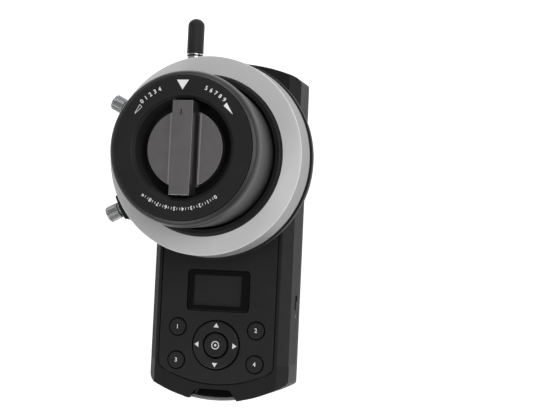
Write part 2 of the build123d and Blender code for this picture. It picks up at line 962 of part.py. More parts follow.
button_low = board_top + dome_height + press_travel + key_rest_gap
pad_low = inner_front - pad_flange_drop
pad_hole = ok_radius + pad_bore_gap
for number, spot in enumerate(button_spots, start=1):
    with BuildPart() as number_button:
        add(posts((spot,), button_radius, button_low, front_z + button_proud))
        fillet(number_button.edges().group_by(Axis.Z)[-1], key_edge)
        add(
            posts(
                (spot,),
                button_radius + button_flange,
                button_low,
                inner_front - slide_gap,
            )
        )
    number_button.part.label = f"number_button_{number}"
    export_step(number_button.part, f"parts/number_button_{number}.step")

with BuildPart() as ok_button:
    add(posts(((0, pad_y),), ok_radius, pad_low, front_z + ok_proud))
    fillet(ok_button.edges().group_by(Axis.Z)[-1], key_edge)
    add(posts(((0, pad_y),), ok_stem, button_low, pad_low))

ok_button.part.label = "ok_button"
export_step(ok_button.part, "parts/ok_button.step")

with BuildPart() as direction_pad:
    with BuildSketch(Plane.XY.offset(pad_low)):
        with Locations((0, pad_y)):
            Circle(pad_radius)
            Circle(pad_hole, mode=Mode.SUBTRACT)
    extrude(amount=front_z + pad_proud - pad_low)
    fillet(direction_pad.edges().group_by(Axis.Z)[-1], key_edge)

direction_pad.part.label = "direction_pad"
export_step(direction_pad.part, "parts/direction_pad.step")

with BuildPart() as pad_pivot:
    with BuildSketch(Plane.XY.offset(pad_low - pivot_gap - pivot_thick)):
        with Locations((0, pad_y)):
            Circle(pad_hole + slide_gap + pivot_width)
            Circle(pad_hole + slide_gap, mode=Mode.SUBTRACT)
    extrude(amount=pivot_thick)

pad_pivot.part.label = "pad_pivot"
export_step(pad_pivot.part, "parts/pad_pivot.step")

# ---------------------------------------------------------------- inner electronics
battery_low_y = battery_margin - body_bottom
battery_high_y = main_board_y - main_board_length / 2 - battery_end_gap
with BuildPart() as battery_pack:
    add(
        block(
            2 * (casing_screw_x - boss_radius - battery_gap),
            battery_high_y - battery_low_y,
            wall,
            wall + battery_thick,
            y=(battery_low_y + battery_high_y) / 2,
            corner=battery_corner,
        )
    )
    fillet(battery_pack.edges().group_by(Axis.Z)[-1], battery_edge)

battery_pack.part.label = "battery_pack"
export_step(battery_pack.part, "parts/battery_pack.step")

with BuildPart() as main_board:
    add(
        block(
            2 * main_board_half,
            main_board_length,
            main_board_height,
            main_board_height + board_thick,
            y=main_board_y,
            corner=board_corner,
        )
    )

main_board.part.label = "main_board"
export_step(main_board.part, "parts/main_board.step")

with BuildPart() as radio_module:
    add(
        block(
            radio_width,
            radio_length,
            main_board_height + board_thick,
            main_board_height + board_thick + radio_thick,
            x=radio_side - main_board_half,
            y=main_board_y + main_board_length / 2 - radio_side,
        )
    )

radio_module.part.label = "radio_module"
export_step(radio_module.part, "parts/radio_module.step")

with BuildPart() as encoder_board:
    add(
        block(
            encoder_size,
            encoder_size,
            inner_front - board_thick,
            inner_front,
            corner=board_corner,
        )
    )

encoder_board.part.label = "encoder_board"
export_step(encoder_board.part, "parts/encoder_board.step")

# ---------------------------------------------------------------- aerial
ferrule_low = aerial_boss_reach + slide_gap
ferrule_top = ferrule_low + ferrule_length
with BuildPart() as aerial_socket:
    with BuildSketch(upright_plane(aerial_boss_inner, aerial_x, aerial_z)):
        RegularPolygon(aerial_nut, 6)
    extrude(amount=-aerial_nut_thick)
    with BuildSketch(upright_plane(aerial_boss_inner, aerial_x, aerial_z)):
        Circle(aerial_stud)
    extrude(amount=ferrule_top - ferrule_cap - slide_gap - aerial_boss_inner)

aerial_socket.part.label = "aerial_socket"
export_step(aerial_socket.part, "parts/aerial_socket.step")

with BuildPart() as aerial_ferrule:
    with BuildSketch(upright_plane(ferrule_low, aerial_x, aerial_z)):
        Circle(aerial_radius + ferrule_proud)
    extrude(amount=ferrule_length)
    with BuildSketch(upright_plane(ferrule_low, aerial_x, aerial_z)):
        Circle(aerial_stud + running_fit)
    extrude(amount=ferrule_length - ferrule_cap, mode=Mode.SUBTRACT)
    # dark groove between the two bright rings
    with BuildSketch(upright_plane(ferrule_top - ferrule_groove_rise, aerial_x, aerial_z)):
        Circle(2 * aerial_radius)
        Circle(aerial_radius - ferrule_groove_depth, mode=Mode.SUBTRACT)
    extrude(amount=ferrule_groove_width, mode=Mode.SUBTRACT)

aerial_ferrule.part.label = "aerial_ferrule"
export_step(aerial_ferrule.part, "parts/aerial_ferrule.step")

with BuildPart() as aerial_whip:
    with BuildSketch(upright_plane(ferrule_top, aerial_x, aerial_z)):
        Circle(aerial_radius)
    extrude(amount=aerial_tip - ferrule_top)
    fillet(aerial_whip.edges().group_by(Axis.Y)[-1], aerial_dome)

aerial_whip.part.label = "aerial_whip"
export_step(aerial_whip.part, "parts/aerial_whip.step")

# ---------------------------------------------------------------- fixed part of the wheel
bearing_bore = bearing_outer + seat_fit
ledge_bore = bearing_outer - bearing_ledge
with BuildPart() as base_ring:
    add(
        turned(
            (ledge_bore, front_z),
            (base_radius, front_z),
            (base_radius, base_rim_low),
            (base_rim_radius, base_rim_low),
            (base_rim_radius, base_top),
            (base_inner, base_top),
            (base_inner, front_z + base_floor),
            (bearing_bore + hub_wall, front_z + base_floor),
            (bearing_bore + hub_wall, bearing_top - brake_thick),
            (brake_radius, bearing_top - brake_thick),
            (brake_radius, bearing_top),
            (bearing_bore, bearing_top),
            (bearing_bore, bearing_seat),
            (ledge_bore, bearing_seat),
        )
    )
    chamfer(base_ring.edges().group_by(Axis.Z)[-1].sort_by(SortBy.LENGTH)[-1], base_edge)
    # slot in which the two end stops run
    slot_middle = sum(stop_angles) / 2
    slot_half = (stop_angles[1] - stop_angles[0]) / 2 + stop_travel_out + neck_half_angle
    add(
        sector(
            base_inner - slide_gap,
            base_radius + slide_gap,
            stop_z - slot_half_height,
            stop_z + slot_half_height,
            slot_middle,
            slot_half + slot_end_gap,
        ),
        mode=Mode.SUBTRACT,
    )
    with BuildSketch(Plane.XY.offset(front_z)):
        with PolarLocations(base_screw_radius, 4, start_angle=base_screw_angle):
            Circle(base_screw_shaft + seat_fit)
    extrude(amount=base_floor, mode=Mode.SUBTRACT)

base_ring.part.label = "base_ring"
export_step(base_ring.part, "parts/base_ring.step")

with BuildPart() as base_screws:
    with BuildSketch(Plane.XY.offset(base_screw_end)):
        with PolarLocations(base_screw_radius, 4, start_angle=base_screw_angle):
            Circle(base_screw_shaft)
    extrude(amount=front_z + base_floor - base_screw_end)
    with BuildSketch(Plane.XY.offset(front_z + base_floor)):
        with PolarLocations(base_screw_radius, 4, start_angle=base_screw_angle):
            Circle(base_screw_head)
    extrude(amount=base_screw_head_height)
    head_top = front_z + base_floor + base_screw_head_height
    with BuildSketch(Plane.XY.offset(head_top)):
        with PolarLocations(base_screw_radius, 4, start_angle=base_screw_angle):
            RegularPolygon(base_screw_hex, 6)
    extrude(amount=-base_screw_head_height / 2, mode=Mode.SUBTRACT)

base_screws.part.label = "base_screws"
export_step(base_screws.part, "parts/base_screws.step")

ball_ring = (spindle_radius + bearing_outer) / 2
with BuildPart() as spindle_bearings:
    for seat in (bearing_seat, bearing_seat + bearing_width + bearing_spread):
        add(
            turned_ring(
                spindle_radius + running_fit, ball_ring - race_gap, seat, seat + bearing_width
            )
        )
        add(turned_ring(ball_ring + race_gap, bearing_outer, seat, seat + bearing_width))
        with Locations((0, 0, seat + bearing_width / 2)):
            Torus(ball_ring, ball_radius + seat_fit, mode=Mode.SUBTRACT)
            with PolarLocations(ball_ring, ball_count):
                Sphere(ball_radius)

spindle_bearings.part.label = "spindle_bearings"
export_step(spindle_bearings.part, "parts/spindle_bearings.step")

with BuildPart() as bearing_spacer:
    add(
        turned_ring(
            ball_ring + race_gap,
            bearing_outer,
            bearing_seat + bearing_width,
            bearing_seat + bearing_width + bearing_spread,
        )
    )

bearing_spacer.part.label = "bearing_spacer"
export_step(bearing_spacer.part, "parts/bearing_spacer.step")

# ---------------------------------------------------------------- turning part of the wheel
clip_high = bearing_seat - clip_gap
clip_low = clip_high - clip_thick
clip_radius = spindle_radius - clip_depth
spindle_low = front_z + spindle_rise
with BuildPart() as spindle:
    add(
        turned(
            (0, spindle_low + magnet_depth),
            (magnet_radius + seat_fit, spindle_low + magnet_depth),
            (magnet_radius + seat_fit, spindle_low),
            (spindle_radius, spindle_low),
            (spindle_radius, clip_low),
            (clip_radius, clip_low),
            (clip_radius, clip_high),
            (spindle_radius, clip_high),
            (spindle_radius, web_top),
            (spindle_flange, web_top),
            (spindle_flange, web_top + flange_thick),
            (0, web_top + flange_thick),
        )
    )

spindle.part.label = "spindle"
export_step(spindle.part, "parts/spindle.step")

with BuildPart() as spindle_clip:
    add(turned_ring(clip_radius + seat_fit, ledge_bore - slide_gap, clip_low, clip_high))
    add(
        block(clip_mouth, ledge_bore, clip_low, clip_high, y=-clip_radius),
        mode=Mode.SUBTRACT,
    )

spindle_clip.part.label = "spindle_clip"
export_step(spindle_clip.part, "parts/spindle_clip.step")

with BuildPart() as encoder_magnet:
    magnet_low = spindle_low - magnet_proud
    add(posts(((0, 0),), magnet_radius, magnet_low, spindle_low + magnet_depth))

encoder_magnet.part.label = "encoder_magnet"
export_step(encoder_magnet.part, "parts/encoder_magnet.step")

rim_outer = ring_radius - ring_thick - slide_gap
ring_seat = ring_top - ring_thick
rim_middle = rim_outer - rim_wall / 2
with BuildPart() as wheel_carrier:
    # web, hub, inner skirt and rim
    add(turned_ring(spindle_radius + seat_fit, rim_outer, web_low, web_top))
    add(
        turned_ring(
            spindle_radius + seat_fit, carrier_hub, bearing_top + carrier_gap, web_top
        )
    )
    add(turned_ring(skirt_radius - skirt_wall, skirt_radius, front_z + skirt_rise, web_top))
    add(turned_ring(rim_outer - rim_wall, rim_outer, ring_low + rim_sunk, ring_seat))
    # lug that meets the end stops
    add(
        sector(
            skirt_radius - skirt_wall / 2,
            base_inner - lug_gap,
            stop_z - slot_half_height + lug_gap,
            stop_z + slot_half_height - lug_gap,
            0.0,
            lug_half_angle,
        )
    )
    with BuildSketch(Plane.XY.offset(web_low)):
        with PolarLocations(spider_arm_length, 3, start_angle=90):
            Circle(spider_pin + slide_gap)
        with PolarLocations(knob_screw_radius, 4):
            Circle(knob_screw_shaft + seat_fit)
    extrude(amount=web_thick, mode=Mode.SUBTRACT)
    with BuildSketch(Plane.XY.offset(ring_seat - ring_magnet_thick)):
        with PolarLocations(rim_middle, ring_magnet_count):
            Circle(ring_magnet_radius + seat_fit)
    extrude(amount=ring_magnet_thick, mode=Mode.SUBTRACT)

wheel_carrier.part.label = "wheel_carrier"
export_step(wheel_carrier.part, "parts/wheel_carrier.step")

with BuildPart() as ring_magnets:
    with BuildSketch(Plane.XY.offset(ring_seat - ring_magnet_thick)):
        with PolarLocations(rim_middle, ring_magnet_count):
            Circle(ring_magnet_radius)
    extrude(amount=ring_magnet_thick)

ring_magnets.part.label = "ring_magnets"
export_step(ring_magnets.part, "parts/ring_magnets.step")

with BuildPart() as marking_ring:
    add(
        turned(
            (ring_bore, ring_seat),
            (ring_radius - ring_thick, ring_seat),
            (ring_radius - ring_thick, ring_low),
            (ring_radius + ring_flare, ring_low),
            (ring_radius, ring_top),
            (ring_bore, ring_top),
        )
    )
    chamfer(marking_ring.edges().group_by(Axis.Z)[-1].sort_by(SortBy.LENGTH)[-1], ring_edge)

marking_ring.part.label = "marking_ring"
export_step(marking_ring.part, "parts/marking_ring.step")

with BuildPart() as drum_collar:
    add(
        turned(
            (collar_bore, web_top),
            (ring_bore - collar_fit, web_top),
            (ring_bore - collar_fit, ring_top),
            (collar_radius, ring_top),
            (collar_radius - collar_slope, ring_top + collar_proud),
            (collar_bore, ring_top + collar_proud),
        )
    )

drum_collar.part.label = "drum_collar"
export_step(drum_collar.part, "parts/drum_collar.step")

face_seat = knob_front - face_thick
sleeve_bore = knob_rear_radius - knob_wall - face_overlap
face_pocket_radius = knob_face_radius + panel_gap
rim_middle_radius = knob_rim_radius - (knob_rim_radius - face_pocket_radius) / 3
with BuildPart() as knob_sleeve:
    add(
        turned(
            (sleeve_flange, web_top),
            (knob_rear_radius, web_top),
            (knob_rear_radius, knob_flare_z),
            (knob_rim_radius, knob_front - knob_shoulder),
            (rim_middle_radius, knob_front - knob_shoulder / 3),
            (face_pocket_radius, knob_front - knob_shoulder_flat),
            (face_pocket_radius, face_seat),
            (sleeve_bore, face_seat),
            (sleeve_bore, web_top + sleeve_floor),
            (sleeve_flange, web_top + sleeve_floor),
        )
    )
    with BuildSketch(Plane.XY.offset(web_top)):
        with PolarLocations(knob_screw_radius, 4):
            Circle(knob_screw_shaft + seat_fit)
    extrude(amount=sleeve_floor, mode=Mode.SUBTRACT)

knob_sleeve.part.label = "knob_sleeve"
export_step(knob_sleeve.part, "parts/knob_sleeve.step")

with BuildPart() as knob_face:
    add(
        turned(
            (bush_radius + seat_fit, recess_floor - cup_floor),
            (recess_radius + cup_wall, recess_floor - cup_floor),
            (recess_radius + cup_wall, face_seat),
            (knob_face_radius, face_seat),
            (knob_face_radius, knob_front - knob_edge),
            (knob_face_radius - knob_edge, knob_front),
            (recess_radius + recess_rim, knob_front),
            (recess_radius, knob_front - recess_rim),
            (recess_radius, recess_floor),
            (bush_radius + seat_fit, recess_floor),
        )
    )
    fillet(knob_face.edges().group_by(Axis.Z)[-1].sort_by(SortBy.LENGTH)[-1], face_round)

knob_face.part.label = "knob_face"
export_step(knob_face.part, "parts/knob_face.step")

with BuildPart() as knob_screws:
    with BuildSketch(Plane.XY.offset(web_low)):
        with PolarLocations(knob_screw_radius, 4):
            Circle(knob_screw_head)
    extrude(amount=-knob_screw_head_height)
    with BuildSketch(Plane.XY.offset(web_low)):
        with PolarLocations(knob_screw_radius, 4):
            Circle(knob_screw_shaft)
    extrude(amount=web_thick + knob_screw_grip)

knob_screws.part.label = "knob_screws"
export_step(knob_screws.part, "parts/knob_screws.step")

with BuildPart() as tension_bush:
    add(
        turned(
            (spindle_radius + running_fit, recess_floor - cup_floor - bush_tail),
            (bush_radius, recess_floor - cup_floor - bush_tail),
            (bush_radius, recess_floor),
            (bush_flange, recess_floor),
            (bush_flange, recess_floor + bush_flange_thick),
            (spindle_radius + running_fit, recess_floor + bush_flange_thick),
        )
    )

tension_bush.part.label = "tension_bush"
export_step(tension_bush.part, "parts/tension_bush.step")

# ---------------------------------------------------------------- drag of the wheel
spider_low = web_top + flange_thick + spider_gap
spider_top = spider_low + spider_thick

with BuildPart() as friction_washer:
    add(turned_ring(spring_inner, spring_outer, washer_low, washer_low + washer_thick))

friction_washer.part.label = "friction_washer"
export_step(friction_washer.part, "parts/friction_washer.step")

with BuildPart() as pressure_plate:
    add(turned_ring(spring_inner, brake_radius - plate_rim, plate_low, spring_low))

pressure_plate.part.label = "pressure_plate"
export_step(pressure_plate.part, "parts/pressure_plate.step")

with BuildPart() as disc_springs:
    for low in (spring_low, spring_low + spring_pitch):
        add(
            turned(
                (spring_inner, low + spring_rise),
                (spring_outer, low),
                (spring_outer, low + spring_thick),
                (spring_inner, low + spring_rise + spring_thick),
            )
        )

disc_springs.part.label = "disc_springs"
export_step(disc_springs.part, "parts/disc_springs.step")

with BuildPart() as thrust_spider:
    add(posts(((0, 0),), spindle_flange, spider_low, spider_top))
    with BuildSketch(Plane.XY.offset(spider_low)):
        with PolarLocations(spider_arm_length / 2, 3, start_angle=90):
            Rectangle(spider_arm_length, spider_arm_width)
        with PolarLocations(spider_arm_length, 3, start_angle=90):
            Circle(spider_arm_width / 2)
    extrude(amount=spider_thick)
    with BuildSketch(Plane.XY.offset(spring_top)):
        with PolarLocations(spider_arm_length, 3, start_angle=90):
            Circle(spider_pin)
    extrude(amount=spider_low - spring_top)

thrust_spider.part.label = "thrust_spider"
export_step(thrust_spider.part, "parts/thrust_spider.step")

screw_collar_low = recess_floor + bush_flange_thick + slide_gap
screw_tip = spider_top + tension_screw_gap
with BuildPart() as tension_screw:
    add(
        turned(
            (0, screw_tip),
            (spindle_radius - tension_screw_point, screw_tip),
            (spindle_radius, screw_tip + tension_screw_point),
            (spindle_radius, screw_collar_low),
            (bush_flange, screw_collar_low),
            (bush_flange, dial_low),
            (0, dial_low),
        )
    )

tension_screw.part.label = "tension_screw"
export_step(tension_screw.part, "parts/tension_screw.step")

with BuildPart() as tension_dial:
    add(posts(((0, 0),), dial_radius, dial_low, dial_top))
    chamfer(tension_dial.edges().group_by(Axis.Z)[-1], dial_edge)
    add(
        block(channel_width, 2 * dial_radius, channel_floor, dial_top),
        mode=Mode.SUBTRACT,
    )

tension_dial.part.label = "tension_dial"
export_step(tension_dial.part, "parts/tension_dial.step")

with BuildPart() as tension_bar:
    add(block(bar_width, bar_length, channel_floor, bar_top))
    chamfer(tension_bar.edges().group_by(Axis.Z)[-1], bar_edge)

tension_bar.part.label = "tension_bar"
export_step(tension_bar.part, "parts/tension_bar.step")

# ---------------------------------------------------------------- end stops
slider_low_r = base_radius + slide_gap
slider_high_r = slider_low_r + stop_block_thick
head_low_r = slider_high_r + slide_gap
for letter, angle in zip("ab", stop_angles):
    with BuildPart() as stop_slider:
        add(
            sector(
                slider_low_r,
                slider_high_r,
                stop_z - block_half_height,
                stop_z + block_half_height,
                angle,
                stop_half_angle,
            )
        )
        chamfer(stop_slider.edges().filter_by(Axis.Z), stop_edge)
        add(
            sector(
                plate_high_r + seat_fit,
                slider_high_r - stop_block_thick / 2,
                stop_z - slot_half_height + neck_gap,
                stop_z + slot_half_height - neck_gap,
                angle,
                neck_half_angle,
            )
        )
        with BuildSketch(radial_plane(angle, plate_low_r)):
            Circle(thumb_shaft + running_fit)
        extrude(amount=head_low_r - plate_low_r, mode=Mode.SUBTRACT)
    stop_slider.part.label = f"stop_slider_{letter}"
    export_step(stop_slider.part, f"parts/stop_slider_{letter}.step")

    with BuildPart() as stop_plate:
        add(
            sector(
                plate_low_r,
                plate_high_r,
                stop_z - block_half_height,
                stop_z + block_half_height,
                angle,
                stop_half_angle,
            )
        )
        with BuildSketch(radial_plane(angle, plate_low_r / 2)):
            Circle(thumb_shaft + running_fit)
        extrude(amount=plate_high_r, mode=Mode.SUBTRACT)
    stop_plate.part.label = f"stop_plate_{letter}"
    export_step(stop_plate.part, f"parts/stop_plate_{letter}.step")

    with BuildPart() as stop_screw:
        with BuildSketch(radial_plane(angle, plate_high_r - thumb_grip)):
            Circle(thumb_shaft)
        extrude(amount=head_low_r - plate_high_r + thumb_grip)
        with BuildSketch(radial_plane(angle, head_low_r)):
            Circle(thumb_radius - thumb_shoulder)
        extrude(amount=thumb_shoulder)
        with BuildSketch(radial_plane(angle, head_low_r + thumb_shoulder)):
            Circle(thumb_radius)
            with PolarLocations(thumb_radius + thumb_groove_out, thumb_teeth):
                Circle(thumb_groove, mode=Mode.SUBTRACT)
        extrude(amount=thumb_length - thumb_shoulder)
    stop_screw.part.label = f"stop_screw_{letter}"
    export_step(stop_screw.part, f"parts/stop_screw_{letter}.step")
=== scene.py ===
"""Visual model of a hand-held follow focus controller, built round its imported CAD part.

Every length in the classes below is in millimetres, in the part's own frame: the
origin is where the wheel axis meets the flat back, +Z points out of the front and
+Y along the casing towards the aerial.
"""

import json
import logging
import math
from dataclasses import dataclass
from enum import Enum
from typing import Any, Callable, Sequence

import bmesh
import bpy
from mathutils import Matrix, Vector

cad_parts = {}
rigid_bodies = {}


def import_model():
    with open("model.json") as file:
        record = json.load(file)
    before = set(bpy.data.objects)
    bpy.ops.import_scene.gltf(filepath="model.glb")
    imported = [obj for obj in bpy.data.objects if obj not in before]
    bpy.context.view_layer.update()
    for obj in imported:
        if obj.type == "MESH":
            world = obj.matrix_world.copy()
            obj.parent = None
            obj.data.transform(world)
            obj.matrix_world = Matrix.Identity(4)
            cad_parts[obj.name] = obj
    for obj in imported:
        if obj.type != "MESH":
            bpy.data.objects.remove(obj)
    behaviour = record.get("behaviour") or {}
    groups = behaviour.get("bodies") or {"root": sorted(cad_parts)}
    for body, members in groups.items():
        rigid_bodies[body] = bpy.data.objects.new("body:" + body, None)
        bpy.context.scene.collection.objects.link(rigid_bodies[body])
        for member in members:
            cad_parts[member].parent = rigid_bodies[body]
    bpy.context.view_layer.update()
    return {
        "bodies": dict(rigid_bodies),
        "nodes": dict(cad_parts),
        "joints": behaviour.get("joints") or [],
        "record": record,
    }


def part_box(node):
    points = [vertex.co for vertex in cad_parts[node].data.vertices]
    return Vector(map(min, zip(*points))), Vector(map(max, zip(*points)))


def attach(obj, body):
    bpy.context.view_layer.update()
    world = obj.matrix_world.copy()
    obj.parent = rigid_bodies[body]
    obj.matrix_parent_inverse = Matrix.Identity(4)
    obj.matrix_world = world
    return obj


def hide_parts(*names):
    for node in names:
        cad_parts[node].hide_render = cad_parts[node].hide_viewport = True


MM = 0.001
FULL_TURN = 2 * math.pi
MERGE_DISTANCE = 1e-7
LOG = logging.getLogger("follow_focus")
KEY_SPOTS = ((-19.8, -80.75), (19.8, -80.75), (-19.8, -96.9), (19.8, -96.9))
STOP_ANGLES = {"a": 153.0, "b": 207.0}
FONT_SIZE_PER_HEIGHT = 1.42
FIGURE_DEPTH = 0.012
FIGURE_BOLDNESS = 0.045

Point = tuple[float, float]
Corner = tuple[float, float, float]
Colour = tuple[float, float, float]
Setting = dict[str, Any]


# --------------------------------------------------------------------------------------
# Shader desk
# --------------------------------------------------------------------------------------


class Wire:
    """An output socket of a shader node, with the arithmetic operators."""

    def __init__(self, desk: "ShaderDesk", socket: bpy.types.NodeSocket) -> None:
        """Keeps the socket and the desk that its Math nodes are added to."""
        self.desk = desk
        self.socket = socket

    def _worked(self, operation: str, other: Any = 0.0) -> "Wire":
        """Adds one Math node that works on this wire, and returns its output."""
        return self.desk.node(
            "ShaderNodeMath", {"operation": operation}, {0: self, 1: other}
        )

    def __add__(self, other: Any) -> "Wire":
        """Adds a value or another wire."""
        return self._worked("ADD", other)

    __radd__ = __add__

    def __mul__(self, other: Any) -> "Wire":
        """Multiplies by a value or another wire."""
        return self._worked("MULTIPLY", other)

    __rmul__ = __mul__

    def __truediv__(self, other: Any) -> "Wire":
        """Divides by a value or another wire."""
        return self._worked("DIVIDE", other)

    def __gt__(self, other: Any) -> "Wire":
        """Gives 1 where this wire is above the other, and 0 elsewhere."""
        return self._worked("GREATER_THAN", other)

    def __abs__(self) -> "Wire":
        """Gives the size without the sign."""
        return self._worked("ABSOLUTE")

    def fraction(self) -> "Wire":
        """Gives the part after the decimal point."""
        return self._worked("FRACT")

    def root(self) -> "Wire":
        """Gives the square root."""
        return self._worked("SQRT")

    def larger(self, other: Any) -> "Wire":
        """Gives the larger of the two."""
        return self._worked("MAXIMUM", other)


class ShaderDesk:
    """The node tree of one new material, and the one method that adds nodes to it."""

    def __init__(self, name: str) -> None:
        """Makes an empty material.

        Args:
            name: The material's name.
        """
        self.material = bpy.data.materials.new(name)
        self.material.use_nodes = True
        self.tree = self.material.node_tree
        self.tree.nodes.clear()

    def node(
        self,
        kind: str,
        settings: Setting | None = None,
        sockets: dict[Any, Any] | None = None,
        output: int | str = 0,
    ) -> Wire:
        """Adds a node.

        Args:
            kind: The node's type.
            settings: Its properties, set before its sockets; stops are a ramp's.
            sockets: Values or wires for its inputs, by name or place.
            output: The output to return, by name or place.

        Returns:
            The chosen output.
        """
        made = self.tree.nodes.new(kind)
        for key, value in (settings or {}).items():
            if key == "stops":
                self._set_stops(made.color_ramp, value)
            else:
                setattr(made, key, value)
        for key, value in (sockets or {}).items():
            if isinstance(value, Wire):
                self.tree.links.new(value.socket, made.inputs[key])
            else:
                made.inputs[key].default_value = value
        return Wire(self, made.outputs[output] if len(made.outputs) else None)

    @staticmethod
    def _set_stops(
        ramp: bpy.types.ColorRamp, stops: Sequence[tuple[float, float]]
    ) -> None:
        """Gives a grey ramp its stops, as pairs of position and grey."""
        while len(ramp.elements) < len(stops):
            ramp.elements.new(1.0)
        for element, (position, grey) in zip(ramp.elements, stops):
            element.position = position
            element.color = (grey, grey, grey, 1.0)

    def place(
        self,
        stretch: Sequence[float] = (1.0, 1.0, 1.0),
        centre: Sequence[float] = (0.0, 0.0, 0.0),
    ) -> Wire:
        """Gives the object coordinates, in metres, moved and stretched.

        Args:
            stretch: Factors along the three axes, after the move.
            centre: The point, in millimetres, that becomes the origin.

        Returns:
            The coordinates.
        """
        own = self.node("ShaderNodeTexCoord", output="Object")
        moved = self.node(
            "ShaderNodeVectorMath",
            {"operation": "SUBTRACT"},
            {0: own, 1: tuple(c * MM for c in centre)},
        )
        return self.node("ShaderNodeMapping", None, {"Vector": moved, "Scale": stretch})

    def axes(self, where: Wire) -> tuple[Wire, Wire, Wire]:
        """Splits coordinates in three.

        Args:
            where: The coordinates.

        Returns:
            The numbers along X, Y and Z.
        """
        split = self.node("ShaderNodeSeparateXYZ", None, {0: where})
        outputs = split.socket.node.outputs
        return Wire(self, outputs[0]), Wire(self, outputs[1]), Wire(self, outputs[2])

    def grain(
        self, where: Wire, size: float, detail: float = 2.0, rough: float = 0.5
    ) -> Wire:
        """Gives a soft random pattern between 0 and 1.

        Args:
            where: The coordinates.
            size: The size of its spots in millimetres.
            detail: How many finer layers it has.
            rough: How strong those are.

        Returns:
            The pattern.
        """
        return self.node(
            "ShaderNodeTexNoise",
            None,
            {
                "Vector": where,
                "Scale": 1 / (size * MM),
                "Detail": detail,
                "Roughness": rough,
            },
        )

    def stepped(self, value: Wire, stops: Sequence[tuple[float, float]]) -> Wire:
        """Sends a value through a grey ramp."""
        return self.node("ShaderNodeValToRGB", {"stops": stops}, {0: value})

    def mixed(self, factor: Wire, first: Any, second: Any) -> Wire:
        """Mixes two colours by a factor."""
        return self.node(
            "ShaderNodeMix",
            {"data_type": "RGBA"},
            {0: factor, 6: solid(first), 7: solid(second)},
            output=2,
        )

    def toned(self, pattern: Wire, colour: Colour, dark: float, light: float) -> Wire:
        """Lets a colour wander between a darker and a lighter tone.

        Args:
            pattern: Where it is light, from 0 to 1.
            colour: The colour.
            dark: The factor of the darker tone.
            light: The factor of the lighter tone.

        Returns:
            The colour with its variation.
        """
        return self.mixed(pattern, shaded(colour, dark), shaded(colour, light))

    def bumped(self, height: Wire, depth: float, strength: float) -> Wire:
        """Turns a height pattern into a normal.

        Args:
            height: The pattern, from 0 to 1.
            depth: How deep it is in millimetres.
            strength: How much of it shows.

        Returns:
            The normal.
        """
        return self.node(
            "ShaderNodeBump",
            None,
            {"Height": height, "Distance": depth * MM, "Strength": strength},
        )

    def surface(self, **inputs: Any) -> bpy.types.Material:
        """Ends the material in a Principled surface.

        Args:
            **inputs: The surface's sockets, with _ for a space in their names.

        Returns:
            The finished material.
        """
        named = {key.replace("_", " "): value for key, value in inputs.items()}
        if "Base Color" in named:
            named["Base Color"] = solid(named["Base Color"])
        shader = self.node("ShaderNodeBsdfPrincipled", None, named)
        self.node("ShaderNodeOutputMaterial", None, {"Surface": shader})
        return self.material


def solid(colour: Any) -> Any:
    """Gives a plain colour its fourth number, and leaves a wire as it is."""
    return colour if isinstance(colour, Wire) else (*colour, 1.0)


def shaded(colour: Colour, factor: float) -> Colour:
    """Makes a colour lighter or darker."""
    return tuple(min(1.0, channel * factor) for channel in colour)


# --------------------------------------------------------------------------------------
# Finishes
# --------------------------------------------------------------------------------------


class Grain(Enum):
    """The way a surface's fine pattern runs."""

    EVEN = "even"
    ALONG_X = "along_x"
    ROUND_Z = "round_z"


@dataclass(frozen=True)
class MouldedPlastic:
    """Moulded plastic with a fine spark texture and faint handling marks."""

    name: str
    colour: Colour
    roughness: float = 0.5
    spark: float = 0.28
    depth: float = 0.02
    specular: float = 0.2
    uneven: float = 0.15

    def material(self) -> bpy.types.Material:
        """Builds the material.

        Returns:
            The finished material.
        """
        desk = ShaderDesk(self.name)
        where = desk.place()
        spark = desk.grain(where, self.spark, 2.0)
        marks = desk.grain(where, 9.0, 3.0, 0.6)
        patches = desk.stepped(spark * 0.45 + marks * 0.55, [(0.3, 0.0), (0.7, 1.0)])
        tone = desk.toned(patches, self.colour, 1.0 - self.uneven, 1.0 + self.uneven)
        return desk.surface(
            Base_Color=tone,
            Roughness=marks * 0.12 + (self.roughness - 0.06),
            Specular_IOR_Level=self.specular,
            Normal=desk.bumped(spark, self.depth, 0.6),
        )


@dataclass(frozen=True)
class SoftRubber:
    """Matte rubber with a pebbled skin and soft patches of lighter and darker tone."""

    name: str
    colour: Colour
    roughness: float = 0.72
    pebble: float = 0.5
    depth: float = 0.03

    def material(self) -> bpy.types.Material:
        """Builds the material.

        Returns:
            The finished material.
        """
        desk = ShaderDesk(self.name)
        where = desk.place()
        pebbles = desk.node(
            "ShaderNodeTexVoronoi",
            {"feature": "SMOOTH_F1"},
            {"Vector": where, "Scale": 1 / (self.pebble * MM)},
        )
        marks = desk.grain(where, 12.0, 3.0)
        patches = desk.stepped(marks, [(0.32, 0.0), (0.72, 1.0)])
        tone = desk.toned(patches, self.colour, 0.88, 1.18)
        return desk.surface(
            Base_Color=tone,
            Roughness=marks * 0.14 + (self.roughness - 0.07),
            Specular_IOR_Level=0.2,
            Normal=desk.bumped(pebbles, self.depth, 0.5),
        )


